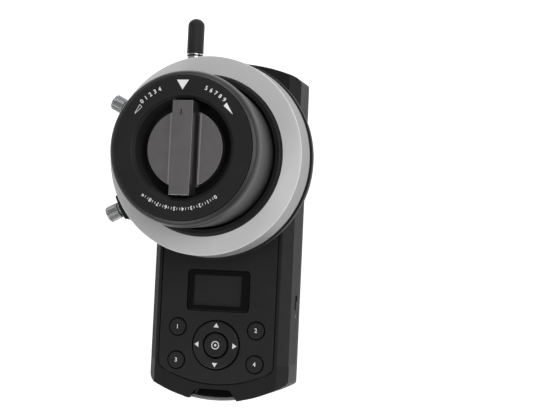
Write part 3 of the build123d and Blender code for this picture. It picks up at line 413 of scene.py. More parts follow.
@dataclass(frozen=True)
class WorkedMetal:
    """Bare or anodised metal with the lines of its last working."""

    name: str
    colour: Colour
    roughness: float = 0.35
    grain: Grain = Grain.EVEN
    line: float = 0.12
    depth: float = 0.006
    centre: tuple[float, float, float] = (0.0, 0.0, 0.0)

    def _pattern(self, desk: ShaderDesk) -> Wire:
        """Gives the pattern of the working lines.

        Args:
            desk: The desk of the material.

        Returns:
            The pattern, from 0 to 1.
        """
        if self.grain is Grain.ROUND_Z:
            across, along, up = desk.axes(desk.place(centre=self.centre))
            radius = (across * across + along * along).root()
            rings = desk.node(
                "ShaderNodeCombineXYZ", None, {0: radius, 1: up * 0.2, 2: 0.0}
            )
            return desk.grain(rings, self.line, 2.0)
        along_x = 0.03 if self.grain is Grain.ALONG_X else 1.0
        return desk.grain(desk.place((along_x, 1.0, 1.0)), self.line, 2.0)

    def material(self) -> bpy.types.Material:
        """Builds the material.

        Returns:
            The finished material.
        """
        desk = ShaderDesk(self.name)
        lines = self._pattern(desk)
        marks = desk.grain(desk.place(), 7.0, 3.0)
        patches = desk.stepped(lines * 0.6 + marks * 0.4, [(0.3, 0.0), (0.7, 1.0)])
        tone = desk.toned(patches, self.colour, 0.9, 1.1)
        return desk.surface(
            Base_Color=tone,
            Metallic=1.0,
            Roughness=lines * 0.1 + marks * 0.06 + (self.roughness - 0.08),
            Normal=desk.bumped(lines, self.depth, 0.5),
        )


@dataclass(frozen=True)
class RingPaint:
    """Pale satin surface that takes pencil marks, with faint rubbed patches."""

    name: str
    colour: Colour
    roughness: float = 0.5

    def material(self) -> bpy.types.Material:
        """Builds the material.

        Returns:
            The finished material.
        """
        desk = ShaderDesk(self.name)
        where = desk.place()
        tooth = desk.grain(where, 0.2, 2.0)
        rubbed = desk.grain(where, 16.0, 4.0, 0.55)
        patches = desk.stepped(rubbed * 0.75 + tooth * 0.25, [(0.3, 0.0), (0.7, 1.0)])
        tone = desk.toned(patches, self.colour, 0.95, 1.04)
        return desk.surface(
            Base_Color=tone,
            Roughness=rubbed * 0.14 + (self.roughness - 0.07),
            Specular_IOR_Level=0.4,
            Normal=desk.bumped(tooth, 0.008, 0.5),
        )


@dataclass(frozen=True)
class SmokedWindow:
    """Smoked acrylic with a black printed border round a clear field."""

    name: str
    border: Colour
    tint: Colour
    half_width: float
    half_length: float
    centre_x: float
    centre_y: float
    clearness: float = 0.7

    def material(self) -> bpy.types.Material:
        """Builds the material.

        Returns:
            The finished material.
        """
        desk = ShaderDesk(self.name)
        middle = (self.centre_x, self.centre_y, 0.0)
        across, along, _ = desk.axes(desk.place(centre=middle))
        outside = (abs(across) / (self.half_width * MM)).larger(
            abs(along) / (self.half_length * MM)
        )
        printed = desk.stepped(outside, [(0.985, 0.0), (1.0, 1.0)])
        smears = desk.grain(desk.place(), 8.0, 3.0)
        return desk.surface(
            Base_Color=desk.mixed(printed, self.tint, self.border),
            Roughness=smears * 0.06 + 0.09,
            Alpha=printed * self.clearness + (1.0 - self.clearness),
            Specular_IOR_Level=0.2,
        )


@dataclass(frozen=True)
class ScreenPanel:
    """An unlit display: grey field with the faint grid of its picture cells."""

    name: str
    colour: Colour
    cell: float = 0.2

    def material(self) -> bpy.types.Material:
        """Builds the material.

        Returns:
            The finished material.
        """
        desk = ShaderDesk(self.name)
        across, along, _ = desk.axes(desk.place())
        columns = (across / (self.cell * MM)).fraction() > 0.14
        rows = (along / (self.cell * MM)).fraction() > 0.14
        cells = desk.toned(columns * rows, self.colour, 0.82, 1.05)
        clouds = desk.grain(desk.place(), 14.0, 2.0)
        return desk.surface(
            Base_Color=cells, Roughness=clouds * 0.1 + 0.2, Coat_Weight=0.4
        )


@dataclass(frozen=True)
class CircuitBoard:
    """Green solder mask over straight copper runs."""

    name: str
    mask: Colour
    copper: Colour = (0.012, 0.05, 0.022)

    def material(self) -> bpy.types.Material:
        """Builds the material.

        Returns:
            The finished material.
        """
        desk = ShaderDesk(self.name)
        where = desk.place()
        runs = desk.node(
            "ShaderNodeTexBrick",
            {"offset": 0.37},
            {
                "Vector": where,
                "Scale": 180.0,
                "Mortar Size": 0.06,
                "Mortar Smooth": 0.1,
            },
            output="Fac",
        )
        fibre = desk.grain(where, 0.4, 2.0)
        return desk.surface(
            Base_Color=desk.mixed(runs, self.mask, self.copper),
            Roughness=fibre * 0.15 + 0.25,
            Normal=desk.bumped(runs, 0.03, 0.5),
        )


@dataclass(frozen=True)
class ShrinkWrap:
    """Printed shrink wrap of a battery, with soft creases."""

    name: str
    colour: Colour

    def material(self) -> bpy.types.Material:
        """Builds the material.

        Returns:
            The finished material.
        """
        desk = ShaderDesk(self.name)
        creases = desk.grain(desk.place((1.0, 0.25, 1.0)), 3.0, 3.0)
        tone = desk.toned(creases, self.colour, 0.85, 1.15)
        return desk.surface(
            Base_Color=tone,
            Roughness=creases * 0.15 + 0.2,
            Normal=desk.bumped(creases, 0.12, 0.4),
        )


@dataclass(frozen=True)
class FibreDisc:
    """Pressed fibre of a friction washer."""

    name: str
    colour: Colour

    def material(self) -> bpy.types.Material:
        """Builds the material.

        Returns:
            The finished material.
        """
        desk = ShaderDesk(self.name)
        fibres = desk.grain(desk.place((1.0, 0.3, 1.0)), 0.5, 4.0, 0.7)
        tone = desk.toned(fibres, self.colour, 0.6, 1.4)
        return desk.surface(
            Base_Color=tone,
            Roughness=fibres * 0.1 + 0.8,
            Normal=desk.bumped(fibres, 0.05, 0.6),
        )


@dataclass(frozen=True)
class WhiteInk:
    """Pad-printed ink, a little uneven over the grain below it."""

    name: str
    colour: Colour

    def material(self) -> bpy.types.Material:
        """Builds the material.

        Returns:
            The finished material.
        """
        desk = ShaderDesk(self.name)
        cover = desk.grain(desk.place(), 0.35, 2.0)
        tone = desk.toned(cover, self.colour, 0.86, 1.0)
        return desk.surface(Base_Color=tone, Roughness=cover * 0.1 + 0.5)


@dataclass(frozen=True)
class StudioFloor:
    """Plain pale floor that glows a little, as a light table does."""

    name: str
    colour: Colour
    glow: float

    def material(self) -> bpy.types.Material:
        """Builds the material.

        Returns:
            The finished material.
        """
        desk = ShaderDesk(self.name)
        cloud = desk.grain(desk.place(), 300.0, 2.0)
        tone = desk.toned(cloud, self.colour, 0.99, 1.0)
        return desk.surface(
            Base_Color=tone,
            Roughness=0.9,
            Specular_IOR_Level=0.1,
            Emission_Color=(1.0, 1.0, 1.0, 1.0),
            Emission_Strength=self.glow,
        )


class Finishes:
    """Every finish of the controller, by the name of its material slot."""

    def __init__(self) -> None:
        """Lists the finishes; each material is built when it is first asked for."""
        finishes = (
            MouldedPlastic(
                "casing_plastic", (0.02, 0.02, 0.0212), specular=0.08, uneven=0.08
            ),
            SoftRubber("grip_rubber", (0.02, 0.02, 0.0208)),
            MouldedPlastic("fascia_plastic", (0.018, 0.018, 0.0188), 0.48, 0.22, 0.012),
            SmokedWindow(
                "window",
                (0.003, 0.003, 0.0033),
                (0.02, 0.02, 0.022),
                half_width=12.4,
                half_length=7.45,
                centre_x=-0.9,
                centre_y=-62.5,
            ),
            ScreenPanel("display", (0.06, 0.061, 0.064)),
            CircuitBoard("circuit_board", (0.004, 0.02, 0.009)),
            WorkedMetal("dome_steel", (0.6, 0.6, 0.6), 0.25),
            WorkedMetal("shield_can", (0.55, 0.56, 0.57), 0.35),
            ShrinkWrap("battery_wrap", (0.12, 0.16, 0.3)),
            WorkedMetal("black_screw", (0.03, 0.03, 0.03), 0.4),
            WorkedMetal(
                "steel_insert",
                (0.5, 0.5, 0.5),
                0.28,
                Grain.ROUND_Z,
                centre=(0, -22.0, 0),
            ),
            WorkedMetal("strap_bar_metal", (0.2, 0.2, 0.204), 0.4, Grain.ALONG_X),
            # Near-black for the inside of the lower notch, as painted shade.
            MouldedPlastic("notch_painted_shade", (0.003, 0.003, 0.003), 0.7, specular=0.05),
            WorkedMetal("port_shell", (0.07, 0.07, 0.072), 0.45),
            MouldedPlastic("port_plastic", (0.004, 0.004, 0.004), 0.6, specular=0.05),
            MouldedPlastic("light_pipe", (0.03, 0.03, 0.032), 0.3, 0.4, 0.004),
            WorkedMetal("brass_insert", (0.7, 0.52, 0.25), 0.3, Grain.ROUND_Z),
            MouldedPlastic("base_plastic", (0.0105, 0.0105, 0.011), 0.55),
            WorkedMetal("bearing_steel", (0.55, 0.55, 0.56), 0.2, Grain.ROUND_Z),
            WorkedMetal("magnet", (0.7, 0.7, 0.7), 0.15),
            RingPaint("marking_ring_paint", (0.67, 0.67, 0.67)),
            # The ring's outer side wall, painted much darker than its face, as painted
            # shade.
            RingPaint("ring_side_painted_shade", (0.26, 0.26, 0.26)),
            RingPaint("ring_edge_paint", (0.68, 0.68, 0.68)),
            WorkedMetal(
                "collar_anodised", (0.03, 0.03, 0.031), 0.5, Grain.ROUND_Z, 0.3
            ),
            MouldedPlastic(
                "knob_side", (0.033, 0.033, 0.034), 0.38, 0.2, 0.006, 0.35, 0.3
            ),
            MouldedPlastic(
                "knob_face_plastic", (0.016, 0.016, 0.0168), 0.46, 0.2, 0.01
            ),
            # The wall of the knob face's recess, painted lighter than the face, as
            # painted light.
            MouldedPlastic("recess_wall_painted_light", (0.03, 0.03, 0.031), 0.4, 0.2, 0.006),
            FibreDisc("friction_pad", (0.3, 0.22, 0.12)),
            WorkedMetal("dial_metal", (0.208, 0.2, 0.202), 0.5, Grain.EVEN, 0.16),
            # Brighter metal on the rounded edges of dial and bar, as painted highlights.
            WorkedMetal("dial_edge_painted_highlight", (0.28, 0.275, 0.275), 0.35),
            # Bright strips along the edges of the dial's channel, as painted highlights.
            WorkedMetal("dial_strip_painted_highlight", (0.45, 0.44, 0.44), 0.4),
            MouldedPlastic("stop_plastic", (0.014, 0.014, 0.014)),
            WorkedMetal("thumbscrew_metal", (0.4, 0.405, 0.41), 0.42, Grain.EVEN, 0.3),
            MouldedPlastic("button_plastic", (0.018, 0.018, 0.0188), 0.5, 0.2, 0.008),
            MouldedPlastic(
                "pad_plastic", (0.017, 0.017, 0.0178), 0.34, 0.25, 0.005, 0.3
            ),
            MouldedPlastic("switch_plastic", (0.015, 0.015, 0.015)),
            WorkedMetal("ferrule_metal", (0.6, 0.6, 0.6), 0.22, Grain.ALONG_X),
            SoftRubber("aerial_rubber", (0.022, 0.022, 0.023), 0.55),
            WhiteInk("white_ink", (0.92, 0.92, 0.92)),
            MouldedPlastic("shadow_black", (0.006, 0.006, 0.006), 0.7),
        )
        self.listed = {finish.name: finish for finish in finishes}
        self.made: dict[str, bpy.types.Material] = {}

    def get(self, name: str) -> bpy.types.Material:
        """Gives the material of a finish, building it the first time."""
        if name not in self.made:
            self.made[name] = self.listed[name].material()
        return self.made[name]

    def coat(self, piece: bpy.types.Object, *names: str) -> None:
        """Puts finishes on a piece's material slots, in order."""
        piece.data.materials.clear()
        for name in names:
            piece.data.materials.append(self.get(name))


# --------------------------------------------------------------------------------------
# Workbench: modelling by hand
# --------------------------------------------------------------------------------------


class Part(Enum):
    """What can be picked in edit mode."""

    VERTS = "VERT"
    EDGES = "EDGE"


def put_down() -> None:
    """Leaves edit mode and deselects everything."""
    if bpy.context.mode != "OBJECT":
        bpy.ops.object.mode_set(mode="OBJECT")
    bpy.ops.object.select_all(action="DESELECT")


def take_up(piece: bpy.types.Object) -> None:
    """Makes one piece the only selected and the active one.

    Args:
        piece: The piece.
    """
    put_down()
    piece.select_set(True)
    bpy.context.view_layer.objects.active = piece


def pick(part: Part, test: Callable[[Any], bool]) -> None:
    """Selects what passes a test on the mesh in edit mode.

    Args:
        part: Vertices or edges.
        test: Takes one of them and says whether it is wanted.
    """
    bpy.ops.mesh.select_mode(type=part.value)
    bpy.ops.mesh.select_all(action="DESELECT")
    data = bpy.context.edit_object.data
    mesh = bmesh.from_edit_mesh(data)
    for item in mesh.verts if part is Part.VERTS else mesh.edges:
        if test(item):
            item.select_set(True)
    mesh.select_flush_mode()
    bmesh.update_edit_mesh(data)


def open_mesh(piece: bpy.types.Object) -> None:
    """Takes a piece into edit mode with all of it selected.

    Args:
        piece: The piece.
    """
    take_up(piece)
    bpy.ops.object.mode_set(mode="EDIT")
    bpy.ops.mesh.select_mode(type="VERT")
    bpy.ops.mesh.select_all(action="SELECT")


def tidy_mesh(piece: bpy.types.Object, distance: float = MERGE_DISTANCE) -> None:
    """Merges doubles, turns the faces outwards and leaves edit mode.

    Args:
        piece: The piece.
        distance: How near doubles are, in metres.
    """
    open_mesh(piece)
    bpy.ops.mesh.remove_doubles(threshold=distance)
    bpy.ops.mesh.normals_make_consistent(inside=False)
    put_down()


def smoothed(piece: bpy.types.Object, degrees: float = 32.0) -> bpy.types.Object:
    """Shades a piece smooth, except over its sharp edges.

    Args:
        piece: The piece.
        degrees: Edges sharper than this stay sharp.

    Returns:
        The same piece.
    """
    take_up(piece)
    bpy.ops.object.shade_smooth_by_angle(angle=math.radians(degrees))
    put_down()
    return applied(piece, "WEIGHTED_NORMAL", keep_sharp=True)


def tinted(
    piece: bpy.types.Object, index: int, test: Callable[[float, float], bool]
) -> None:
    """Gives the faces that pass a test another of the piece's finishes.

    Args:
        piece: The piece, still on the Z axis.
        index: The material slot those faces get.
        test: Takes the radius and height of a face's middle, in millimetres.
    """
    for face in piece.data.polygons:
        middle = face.center / MM
        if test(math.hypot(middle.x, middle.y), middle.z):
            face.material_index = index


def applied(piece: bpy.types.Object, kind: str, **settings: Any) -> bpy.types.Object:
    """Adds a modifier and applies it.

    Args:
        piece: The piece.
        kind: The modifier's type.
        **settings: Its properties.

    Returns:
        The same piece.
    """
    take_up(piece)
    bpy.ops.object.modifier_add(type=kind)
    modifier = piece.modifiers[-1]
    for key, value in settings.items():
        setattr(modifier, key, value)
    bpy.ops.object.modifier_apply(modifier=modifier.name)
    put_down()
    return piece


def cut_away(piece: bpy.types.Object, cutter: bpy.types.Object) -> bpy.types.Object:
    """Cuts one closed piece out of another and throws the cutter away.

    Args:
        piece: The piece that is cut.
        cutter: The piece that is taken out of it.

    Returns:
        The cut piece.
    """
    applied(piece, "BOOLEAN", operation="DIFFERENCE", object=cutter, solver="EXACT")
    bpy.data.objects.remove(cutter)
    return piece


def edged(
    piece: bpy.types.Object, width: float, degrees: float, material: int = -1
) -> None:
    """Rounds the sharp edges of a piece, with two faces across.

    Args:
        piece: The piece.
        width: The width of the rounding in millimetres.
        degrees: Edges flatter than this stay.
        material: The material slot of the new faces, or -1 to keep the old one.
    """
    applied(
        piece,
        "BEVEL",
        width=width * MM,
        segments=2,
        limit_method="ANGLE",
        angle_limit=math.radians(degrees),
        use_clamp_overlap=True,
        material=material,
        harden_normals=False,
    )


def eased(corners: Sequence[Corner], closed: bool, fine: int) -> list[Point]:
    """Rounds the corners of an outline.

    Args:
        corners: Radius, height and size of the rounding, in order.
        closed: Whether the last corner joins the first.
        fine: How many steps each rounding has.

    Returns:
        The points of the rounded outline.
    """
    points: list[Point] = []
    last = len(corners) - 1
    for index, (across, up, ease) in enumerate(corners):
        here = Vector((across, up))
        if ease <= 0 or (not closed and index in (0, last)):
            points.append((across, up))
            continue
        before = Vector(corners[index - 1][:2]) - here
        after = Vector(corners[(index + 1) % len(corners)][:2]) - here
        start = here + before.normalized() * min(ease, before.length * 0.49)
        end = here + after.normalized() * min(ease, after.length * 0.49)
        for step in range(fine + 1):
            t = step / fine
            spot = start * (1 - t) ** 2 + here * 2 * t * (1 - t) + end * t**2
            points.append((spot.x, spot.y))
    return points


def traced(name: str, spots: Sequence[Vector]) -> bpy.types.Object:
    """Draws a chain of vertices, each extruded from the last, in edit mode.

    Args:
        name: The new piece's name.
        spots: Where the vertices go, in metres.

    Returns:
        The new piece, still in edit mode.
    """
    put_down()
    bpy.ops.mesh.primitive_plane_add(size=MM)
    piece = bpy.context.active_object
    piece.name = name
    open_mesh(piece)
    bpy.ops.mesh.merge(type="CENTER")
    bpy.ops.transform.translate(value=spots[0])
    for before, after in zip(spots, spots[1:]):
        bpy.ops.mesh.extrude_region_move(
            TRANSFORM_OT_translate={"value": after - before}
        )
    return piece


def turned(
    name: str,
    outline: Sequence[Point],
    steps: int,
    closed: bool = True,
    angle: float = FULL_TURN,
    start: float = 0.0,
) -> bpy.types.Object:
    """Spins an outline round the Z axis, as on a lathe.

    Args:
        name: The new piece's name.
        outline: Radius and height of its points, in millimetres.
        steps: How many steps the turn has.
        closed: Whether the outline's ends join; if not, they lie on the axis.
        angle: How far it is turned.
        start: The angle at which the turn starts.

    Returns:
        The new piece.
    """
    across, along = math.cos(start), math.sin(start)
    piece = traced(name, [Vector((r * across, r * along, z)) * MM for r, z in outline])
    if closed:
        pick(Part.VERTS, lambda v: len(v.link_edges) == 1)
        bpy.ops.mesh.edge_face_add()
    bpy.ops.mesh.select_all(action="SELECT")
    has_ends = closed and angle < FULL_TURN
    if has_ends:
        bpy.ops.mesh.edge_face_add()
    bpy.ops.mesh.spin(steps=steps, angle=angle, center=(0, 0, 0), axis=(0, 0, -1))
    put_down()
    tidy_mesh(piece)
    if has_ends:
        open_mesh(piece)
        bpy.ops.mesh.fill_holes(sides=0)
        bpy.ops.mesh.normals_make_consistent(inside=False)
        put_down()
    return piece


def lathed(
    name: str,
    corners: Sequence[Corner],
    steps: int,
    closed: bool = True,
    fine: int = 4,
) -> bpy.types.Object:
    """Rounds the corners of an outline and spins it round the Z axis.

    Args:
        name: The new piece's name.
        corners: Radius, height and size of the rounding, in order.
        steps: How many steps the turn has.
        closed: Whether the outline's ends join; if not, they lie on the axis.
        fine: How many steps each rounding has.

    Returns:
        The new piece.
    """
    return turned(name, eased(corners, closed, fine), steps, closed)


def placed(piece: bpy.types.Object, place: Matrix) -> bpy.types.Object:
    """Puts a piece in its place and applies that to its mesh.

    Args:
        piece: The piece.
        place: The move or turn, on top of where it is.

    Returns:
        The same piece.
    """
    piece.matrix_world = place @ piece.matrix_world
    take_up(piece)
    bpy.ops.object.transform_apply(location=True, rotation=True, scale=True)
    put_down()
    return piece


def moved(x: float, y: float, z: float) -> Matrix:
    """Gives a move in millimetres."""
    return Matrix.Translation(Vector((x, y, z)) * MM)


def spun(degrees: float, axis: str = "Z") -> Matrix:
    """Gives a turn about an axis through the origin."""
    return Matrix.Rotation(math.radians(degrees), 4, axis)


def on_circle(degrees: float, radius: float) -> Point:
    """Gives the point of a flat circle round the origin at an angle."""
    turn = math.radians(degrees)
    return radius * math.cos(turn), radius * math.sin(turn)


def block(
    name: str,
    size: Sequence[float],
    centre: Sequence[float],
    corner: float = 0.0,
    edge: float = 0.0,
) -> bpy.types.Object:
    """Shapes a block with rounded upright corners and eased edges.

    Args:
        name: The new piece's name.
        size: Its three sizes in millimetres.
        centre: Its middle in millimetres.
        corner: The radius of its upright corners.
        edge: The width of the rounding along its other edges.

    Returns:
        The new piece.
    """
    put_down()
    bpy.ops.mesh.primitive_cube_add(size=MM)
    piece = bpy.context.active_object
    piece.name = name
    open_mesh(piece)
    bpy.ops.transform.resize(value=size, center_override=(0, 0, 0))
    if corner > 0:
        pick(Part.EDGES, upright)
        bpy.ops.mesh.bevel(offset=corner * MM, segments=8)
    put_down()
    if edge > 0:
        edged(piece, edge, 50.0)
    return placed(piece, moved(*centre))


def upright(edge: bmesh.types.BMEdge) -> bool:
    """Says whether an edge runs along Z."""
    run = (edge.verts[0].co - edge.verts[1].co).normalized()
    return abs(run.z) > 0.99


def lettered(name: str, text: str, height: float, place: Matrix) -> bpy.types.Object:
    """Makes thin printed figures.

    Args:
        name: The new piece's name.
        text: The figures.
        height: Their height in millimetres.
        place: Where their middle goes.

    Returns:
        The new piece.
    """
    put_down()
    bpy.ops.object.text_add()
    piece = bpy.context.active_object
    piece.name = name
    piece.data.body = text
    piece.data.size = height * MM * FONT_SIZE_PER_HEIGHT
    piece.data.align_x = "CENTER"
    piece.data.align_y = "CENTER"
    piece.data.extrude = FIGURE_DEPTH * MM
    piece.data.offset = FIGURE_BOLDNESS * MM
    piece.data.resolution_u = 6
    take_up(piece)
    bpy.ops.object.convert(target="MESH")
    piece = bpy.context.active_object
    placed(piece, place)
    tidy_mesh(piece, 1e-6)
    return piece


def plate(
    name: str, points: Sequence[Point], low: float, high: float
) -> bpy.types.Object:
    """Makes a thin flat plate of any straight-sided outline.

    Args:
        name: The new piece's name.
        points: The corners, in millimetres.
        low: The height of its underside.
        high: The height of its top.

    Returns:
        The new piece.
    """
    piece = traced(name, [Vector((x, y, low)) * MM for x, y in points])
    bpy.ops.mesh.select_all(action="SELECT")
    bpy.ops.mesh.edge_face_add()
    bpy.ops.mesh.extrude_region_move(
        TRANSFORM_OT_translate={"value": (0, 0, (high - low) * MM)}
    )
    put_down()
    tidy_mesh(piece)
    return piece


def joined(name: str, pieces: Sequence[bpy.types.Object]) -> bpy.types.Object:
    """Joins pieces in one.

    Args:
        name: The name of the whole.
        pieces: What is joined.

    Returns:
        The whole.
    """
    put_down()
    for piece in pieces:
        piece.select_set(True)
    bpy.context.view_layer.objects.active = pieces[0]
    bpy.ops.object.join()
    whole = bpy.context.active_object
    whole.name = name
    put_down()
    return whole


def copied(piece: bpy.types.Object, name: str, place: Matrix) -> bpy.types.Object:
    """Copies a piece with its own mesh and puts the copy in place.

    Args:
        piece: The piece.
        name: The copy's name.
        place: The copy's move or turn.

    Returns:
        The copy.
    """
    take_up(piece)
    bpy.ops.object.duplicate(linked=False)
    twin = bpy.context.active_object
    twin.name = name
    return placed(twin, place)


@dataclass
class Shop:
    """What every class of the model works with."""

    frame: dict[str, Any]
    finishes: Finishes
    pieces: int = 0

    def hand_over(
        self,
        piece: bpy.types.Object,
        body: str,
        slot: str,
        *finishes: str,
        nodes: Sequence[str] = (),
    ) -> None:
        """Coats a piece and ties it to the frame.

        Args:
            piece: The finished piece.
            body: The body it moves with.
            slot: The record's material slot it takes its finish from.
            *finishes: The finishes of its material slots, if not just that one.
            nodes: The CAD nodes that it stands for.
        """
        if finishes and len(piece.data.materials) < len(finishes):
            indices = [face.material_index for face in piece.data.polygons]
            self.finishes.coat(piece, *finishes)
            for face, index in zip(piece.data.polygons, indices):
                face.material_index = index
        elif not finishes:
            self.finishes.coat(piece, slot)
        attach(piece, body)
        if nodes:
            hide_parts(*nodes)
        self.pieces += 1
        LOG.info("%s rides on %s", piece.name, body)

    def refined(self, node: str, edge: float = 0.0) -> bpy.types.Object:
        """Copies a CAD node's mesh, merges it and shades it smooth.

        Args:
            node: The CAD node.
            edge: The width in millimetres of the rounding of its sharp edges.

        Returns:
            The new piece.
        """
        source = self.frame["nodes"][node]
        take_up(source)
        bpy.ops.object.duplicate(linked=False)
        piece = bpy.context.active_object
        piece.parent = None
        for key in list(piece.keys()):
            del piece[key]
        piece.name = f"{node}_shell"
        open_mesh(piece)
        bpy.ops.mesh.remove_doubles(threshold=1e-6)
        bpy.ops.mesh.dissolve_limited(angle_limit=math.radians(0.6))
        put_down()
        if edge > 0:
            edged(piece, edge, 34.0)
        return smoothed(piece)


# --------------------------------------------------------------------------------------
# Sub-assemblies
# --------------------------------------------------------------------------------------


@dataclass
class Casing:
    """The two halves of the casing with grips, fascia and fittings.

    The notch and bar fields bound the inside of the lower notch, which is painted
    near-black
    as painted shade: notch_heights are its bottom, the top of its floor and its top. The
    panel and hole fields say how far the fascia is drawn in round its middle, and its key
    holes round theirs.
    """

    shop: Shop
    notch_wall: float = -110.0
    notch_heights: tuple[float, float, float] = (9.0, 21.0, 32.0)
    bar_reach: float = 0.5
    notch_from: float = 1.4
    notch_to: float = 7.0
    panel_middle: float = -71.35
    panel_edge_x: float = 25.2
    panel_edge_y: float = -103.5
    panel_share: tuple[float, float, float] = (0.99, 0.9925, 1.0)
    hole_reach: float = 5.4
    hole_share: float = 0.93

    def build(self) -> None:
        """Dresses every piece that stays with the casing."""
        shells = {
            "front_casing": "casing_plastic",
            "rear_casing": "casing_plastic",
            "side_grip_left": "grip_rubber",
            "side_grip_right": "grip_rubber",
            "front_fascia": "fascia_plastic",
            "tripod_bush": "steel_insert",
            "strap_bar": "strap_bar_metal",
            "charge_port": "port_shell",
            "data_port": "port_plastic",
            "status_light": "light_pipe",
        }
        for node, slot in shells.items():
            piece = self.shop.refined(node)
            finishes = []
            if node == "front_fascia":
                self._set_seams(piece)
            elif node == "front_casing":
                # The inside of the lower notch gets a near-black second finish, as
                # painted shade.
                self._darken_notch(piece)
                finishes = [slot, "notch_painted_shade"]
            self.shop.hand_over(piece, "body", slot, *finishes, nodes=[node])

    def _darken_notch(self, casing: bpy.types.Object) -> None:
        """Paints the walls and floor of the lower notch a deeper black, as painted shade.

        Args:
            casing: The front half of the casing.
        """
        low, high = (Vector(corner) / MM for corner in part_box("strap_bar"))
        bottom, floor_top, top = self.notch_heights
        for face in casing.data.polygons:
            middle = face.center / MM
            inside = low.x - self.bar_reach < middle.x < high.x + self.bar_reach
            along = low.y + self.notch_from < middle.y < low.y + self.notch_to
            beyond_wall = middle.y < self.notch_wall and middle.z < floor_top
            floor = face.normal.z > 0.5 and beyond_wall
            if inside and (along or floor) and bottom < middle.z < top:
                face.material_index = 1

    def _set_seams(self, fascia: bpy.types.Object) -> None:
        """Widens the seam round the panel and draws the key holes in.

        Args:
            fascia: The panel with the holes of the keys.
        """
        open_mesh(fascia)
        x_limit, y_limit = self.panel_edge_x * MM, self.panel_edge_y * MM
        pick(Part.VERTS, lambda v: abs(v.co.x) > x_limit or v.co.y < y_limit)
        bpy.ops.transform.resize(
            value=self.panel_share, center_override=(0.0, self.panel_middle * MM, 0.0)
        )
        reach = self.hole_reach * MM
        for x, y in KEY_SPOTS:
            middle = Vector((x, y)) * MM
            pick(Part.VERTS, lambda v, at=middle: (v.co.xy - at).length < reach)
            bpy.ops.transform.resize(
                value=(self.hole_share, self.hole_share, 1.0),
                center_override=(middle.x, middle.y, 0.0),
            )
        put_down()


@dataclass
class Display:
    """The window over the screen."""

    shop: Shop
    size: tuple[float, float, float] = (30.6, 19.2, 1.1)
    centre: tuple[float, float, float] = (0.0, -62.5, 31.35)
    corner: float = 1.8
    edge: float = 0.14

    def build(self) -> None:
        """Shapes the window with rounded corners and a fine polished edge."""
        window = block("display_cover", self.size, self.centre, self.corner, self.edge)
        smoothed(window)
        self.shop.hand_over(window, "body", "window", nodes=["display_window"])


